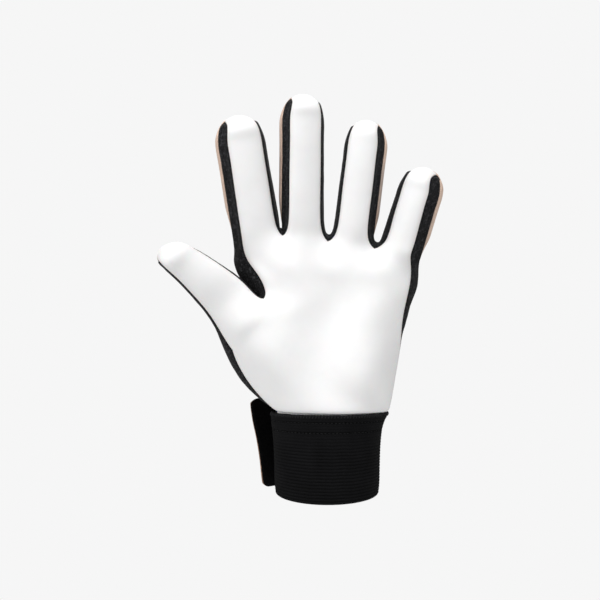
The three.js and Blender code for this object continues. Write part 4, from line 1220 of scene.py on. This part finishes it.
class GLOVE_OT_strap(bpy.types.Operator):
    """Adds the closing strap behind the wrist and the hook pad under it"""

    bl_idname = "glove.strap"
    bl_label = "Strap"

    def execute(self, context):
        settings = context.scene.glove_cuff
        angle, height, off = self.strap_places()
        around, rim = band_length(angle - STRAP_START), self.edge_distance(angle, height)
        points, faces = plate_mesh(angle, height, off, STRAP_THICKNESS, rim)
        look = strap_look(tuple(settings.strap_colour), tuple(settings.trim_colour))
        obj = new_object("strap", points, faces, look)
        add_weave(obj, both_sides(around), both_sides(height))
        trim = TRIM_SHARE * np.exp(-((rim.ravel() / TRIM_WIDTH) ** 2))
        add_values(obj, "trim", np.concatenate([trim, 0 * trim]))
        dress(obj, "strap_fabric", "closing_strap")
        self.sew_strap(context)
        self.add_hooks(settings)
        return {"FINISHED"}

    @staticmethod
    def strap_places():
        """Angle, height and distance off the band over the strap's grid."""
        along = (1 - (1 - np.linspace(0, 1, STRAP_COLUMNS + 1)) ** STRAP_EASE)[:, None]
        up = np.linspace(0, 1, STRAP_ROWS + 1)[None, :]
        angle = mix(STRAP_START, STRAP_END, along)
        short = np.maximum(STRAP_CORNER - band_length(STRAP_END - angle), 0)
        corner = STRAP_CORNER - np.sqrt(np.maximum(STRAP_CORNER**2 - short**2, 0))
        base = (CUFF_HEIGHT - STRAP_WIDTH) / 2 - STRAP_RISE / 4 + along * STRAP_RISE
        height = mix(base + corner, base + STRAP_WIDTH - corner, up)
        seated = smoothstep(along, *SEATED)
        free = smoothstep(along, *FREE) / smoothstep(1.0, *FREE)
        off = STRAP_CLEARANCE + seated * (GAP + HOOK_THICKNESS) + free * mix(STRAP_LOW_LIFT, 1, up) * STRAP_LIFT
        return np.broadcast_to(angle, height.shape), height, np.broadcast_to(off, height.shape)

    @staticmethod
    def edge_distance(angle, height):
        """How far each place of the grid is from the strap's edge, along its face."""
        sides = np.minimum(height - height[:, :1], height[:, -1:] - height)
        return np.minimum(sides, band_length(np.minimum(angle - STRAP_START, STRAP_END - angle)))

    def sew_strap(self, context):
        """A stitched border on the strap's outer face."""
        look = thread_look(tuple(context.scene.glove_seams.thread_colour))
        angle, height, off = self.strap_places()
        angle, middle = angle[:, 0], height[:, STRAP_ROWS // 2]
        low = np.clip(height[:, 0] + STRAP_BORDER, None, middle)
        high = np.clip(height[:, -1] - STRAP_BORDER, middle, None)
        margin = np.degrees(2 * STRAP_BORDER / CUFF_WIDTH)
        ends = (STRAP_START + margin, STRAP_END - margin)
        first, last = (int(np.searchsorted(angle, place)) for place in ends)
        there = np.arange(first, last)
        end = np.linspace(low[last - 1], high[last - 1], STRAP_END_PLACES)[1:-1]
        column = np.concatenate([there, np.full(len(end), last - 1), there[::-1]])
        path_height = np.concatenate([low[there], end, high[there][::-1]])
        bottom, top = height[column, 0], height[column, -1]
        share = (path_height - bottom) / np.maximum(top - bottom, 1e-6)
        lift = mix(off[column, 0], off[column, -1], share) + STRAP_THICKNESS - STRAP_STITCH_SINK
        line = cuff_points(angle[column], path_height, lift)
        away = unit(cuff_points(angle[column], path_height, lift + 1) - line)
        parts = stitches(line, away, **STRAP_STITCH)
        dress(new_object("strap_stitches", *joined(parts), look), "strap_fabric")

    @staticmethod
    def add_hooks(settings):
        """The hook pad between the band and the strap, with rows of small hooks."""
        low = (CUFF_HEIGHT - HOOK_WIDTH) / 2
        angle, height = np.meshgrid(np.linspace(HOOK_START, HOOK_END, HOOK_COLUMNS),
                                    low + np.linspace(0, HOOK_WIDTH, HOOK_ROWS), indexing="ij")
        around = band_length(angle - HOOK_START)
        rim = np.minimum(np.minimum(height - height.min(), height.max() - height),
                         np.minimum(around, around.max() - around))
        across, up = (np.maximum(np.sin(2 * np.pi * way / HOOK_PITCH), 0) for way in (around, height))
        hooks = HOOK_HEIGHT * across * up * smoothstep(rim, *HOOK_MARGIN)
        points, faces = plate_mesh(angle, height, GAP, HOOK_THICKNESS - HOOK_ROOM, rim, hooks)
        obj = new_object("hook_patch", points, faces, hook_look(toned(settings.elastic_colour, 1.2)))
        add_weave(obj, both_sides(around), both_sides(height))
        dress(obj, "hook_fabric", "hook_pad")


class GLOVE_OT_stage(bpy.types.Operator):
    """Adds the pale floor, the soft lights and the camera"""

    bl_idname = "glove.stage"
    bl_label = "Stage"

    def execute(self, context):
        scene, settings = context.scene, context.scene.glove_stage
        floor_colour = tuple(settings.floor_colour)
        turn = np.linspace(0, 2 * np.pi, FLOOR_SIDES + 1)[:-1]
        rings = [np.stack([r * np.cos(turn), r * np.sin(turn), 0 * turn], -1) for r in FLOOR_RADII]
        number = np.arange(len(FLOOR_RADII) * FLOOR_SIDES).reshape(-1, FLOOR_SIDES)
        near, far = number[:-1], number[1:]
        quads = np.stack([far, np.roll(far, -1, 1), np.roll(near, -1, 1), near], -1).reshape(-1, 4)
        floor = new_object("floor", np.concatenate(rings), [tuple(range(FLOOR_SIDES)), *quads.tolist()],
                           floor_look(floor_colour))
        floor.location.z = -settings.floor_drop

        world = bpy.data.worlds.new("pale_surroundings")
        scene.world = world
        world.use_nodes = True
        tree = world.node_tree
        seen, lit = tree.nodes["Background"], tree.nodes.new("ShaderNodeBackground")
        seen.inputs["Color"].default_value = (*floor_colour, 1)
        lit.inputs["Color"].default_value = (1, 1, 1, 1)
        lit.inputs["Strength"].default_value = SURROUND_LIGHT
        path, choose = tree.nodes.new("ShaderNodeLightPath"), tree.nodes.new("ShaderNodeMixShader")
        tree.links.new(path.outputs["Is Camera Ray"], choose.inputs["Fac"])
        tree.links.new(lit.outputs["Background"], choose.inputs[1])
        tree.links.new(seen.outputs["Background"], choose.inputs[2])
        tree.links.new(choose.outputs["Shader"], tree.nodes["World Output"].inputs["Surface"])

        lamps = [("key_light", KEY_PLACE, KEY_SIZE, settings.key_power)]
        lamps += [(name, place, size, settings.fill_power * times) for name, place, size, times in FILL_LIGHTS]
        for name, place, size, power in lamps:
            lamp = bpy.data.lights.new(name, "AREA")
            lamp.shape, lamp.size, lamp.energy = "DISK", size, power
            obj = bpy.data.objects.new(name, lamp)
            obj.location = place
            obj.rotation_euler = (Vector(GLOVE_MIDDLE) - Vector(place)).to_track_quat("-Z", "Y").to_euler()
            scene.collection.objects.link(obj)

        camera = bpy.data.cameras.new("camera")
        camera.lens, camera.sensor_width, camera.sensor_fit = settings.lens, SENSOR_WIDTH, "HORIZONTAL"
        camera.clip_start = CLIP_START
        obj = bpy.data.objects.new("camera", camera)
        obj.location = (CAMERA_X, -settings.distance, CAMERA_HEIGHT)
        obj.rotation_euler = (math.pi / 2, 0, 0)
        scene.collection.objects.link(obj)
        scene.camera = obj
        scene.view_settings.view_transform = "Standard"
        return {"FINISHED"}


class GLOVE_PT_sidebar(bpy.types.Panel):
    """Lists the glove's settings and the steps that build it"""

    bl_idname = "GLOVE_PT_sidebar"
    bl_label = "Goalkeeper glove"
    bl_space_type = "VIEW_3D"
    bl_region_type = "UI"
    bl_category = "Glove"

    def draw(self, context):
        for settings in ("glove_panels", "glove_seams", "glove_cuff", "glove_stage"):
            group = getattr(context.scene, settings)
            box = self.layout.box()
            for name in group.__annotations__:
                box.prop(group, name)
        for operator in OPERATORS:
            self.layout.operator(operator.bl_idname)


OPERATORS = (GLOVE_OT_palm, GLOVE_OT_backhand, GLOVE_OT_gussets, GLOVE_OT_seams, GLOVE_OT_cuff, GLOVE_OT_strap,
             GLOVE_OT_stage)
SETTINGS = {"glove_panels": GlovePanelSettings, "glove_seams": GloveSeamSettings,
            "glove_cuff": GloveCuffSettings, "glove_stage": GloveStageSettings}


def register():
    for cls in (*SETTINGS.values(), *OPERATORS, GLOVE_PT_sidebar):
        bpy.utils.register_class(cls)
    for name, group in SETTINGS.items():
        setattr(bpy.types.Scene, name, bpy.props.PointerProperty(type=group))


def unregister():
    for name in SETTINGS:
        delattr(bpy.types.Scene, name)
    for cls in reversed((*SETTINGS.values(), *OPERATORS, GLOVE_PT_sidebar)):
        bpy.utils.unregister_class(cls)


def main():
    register()
    for piece in ("palm", "backhand", "gussets", "seams", "cuff", "strap", "stage"):
        getattr(bpy.ops.glove, piece)()


if __name__ == "__main__":
    main()
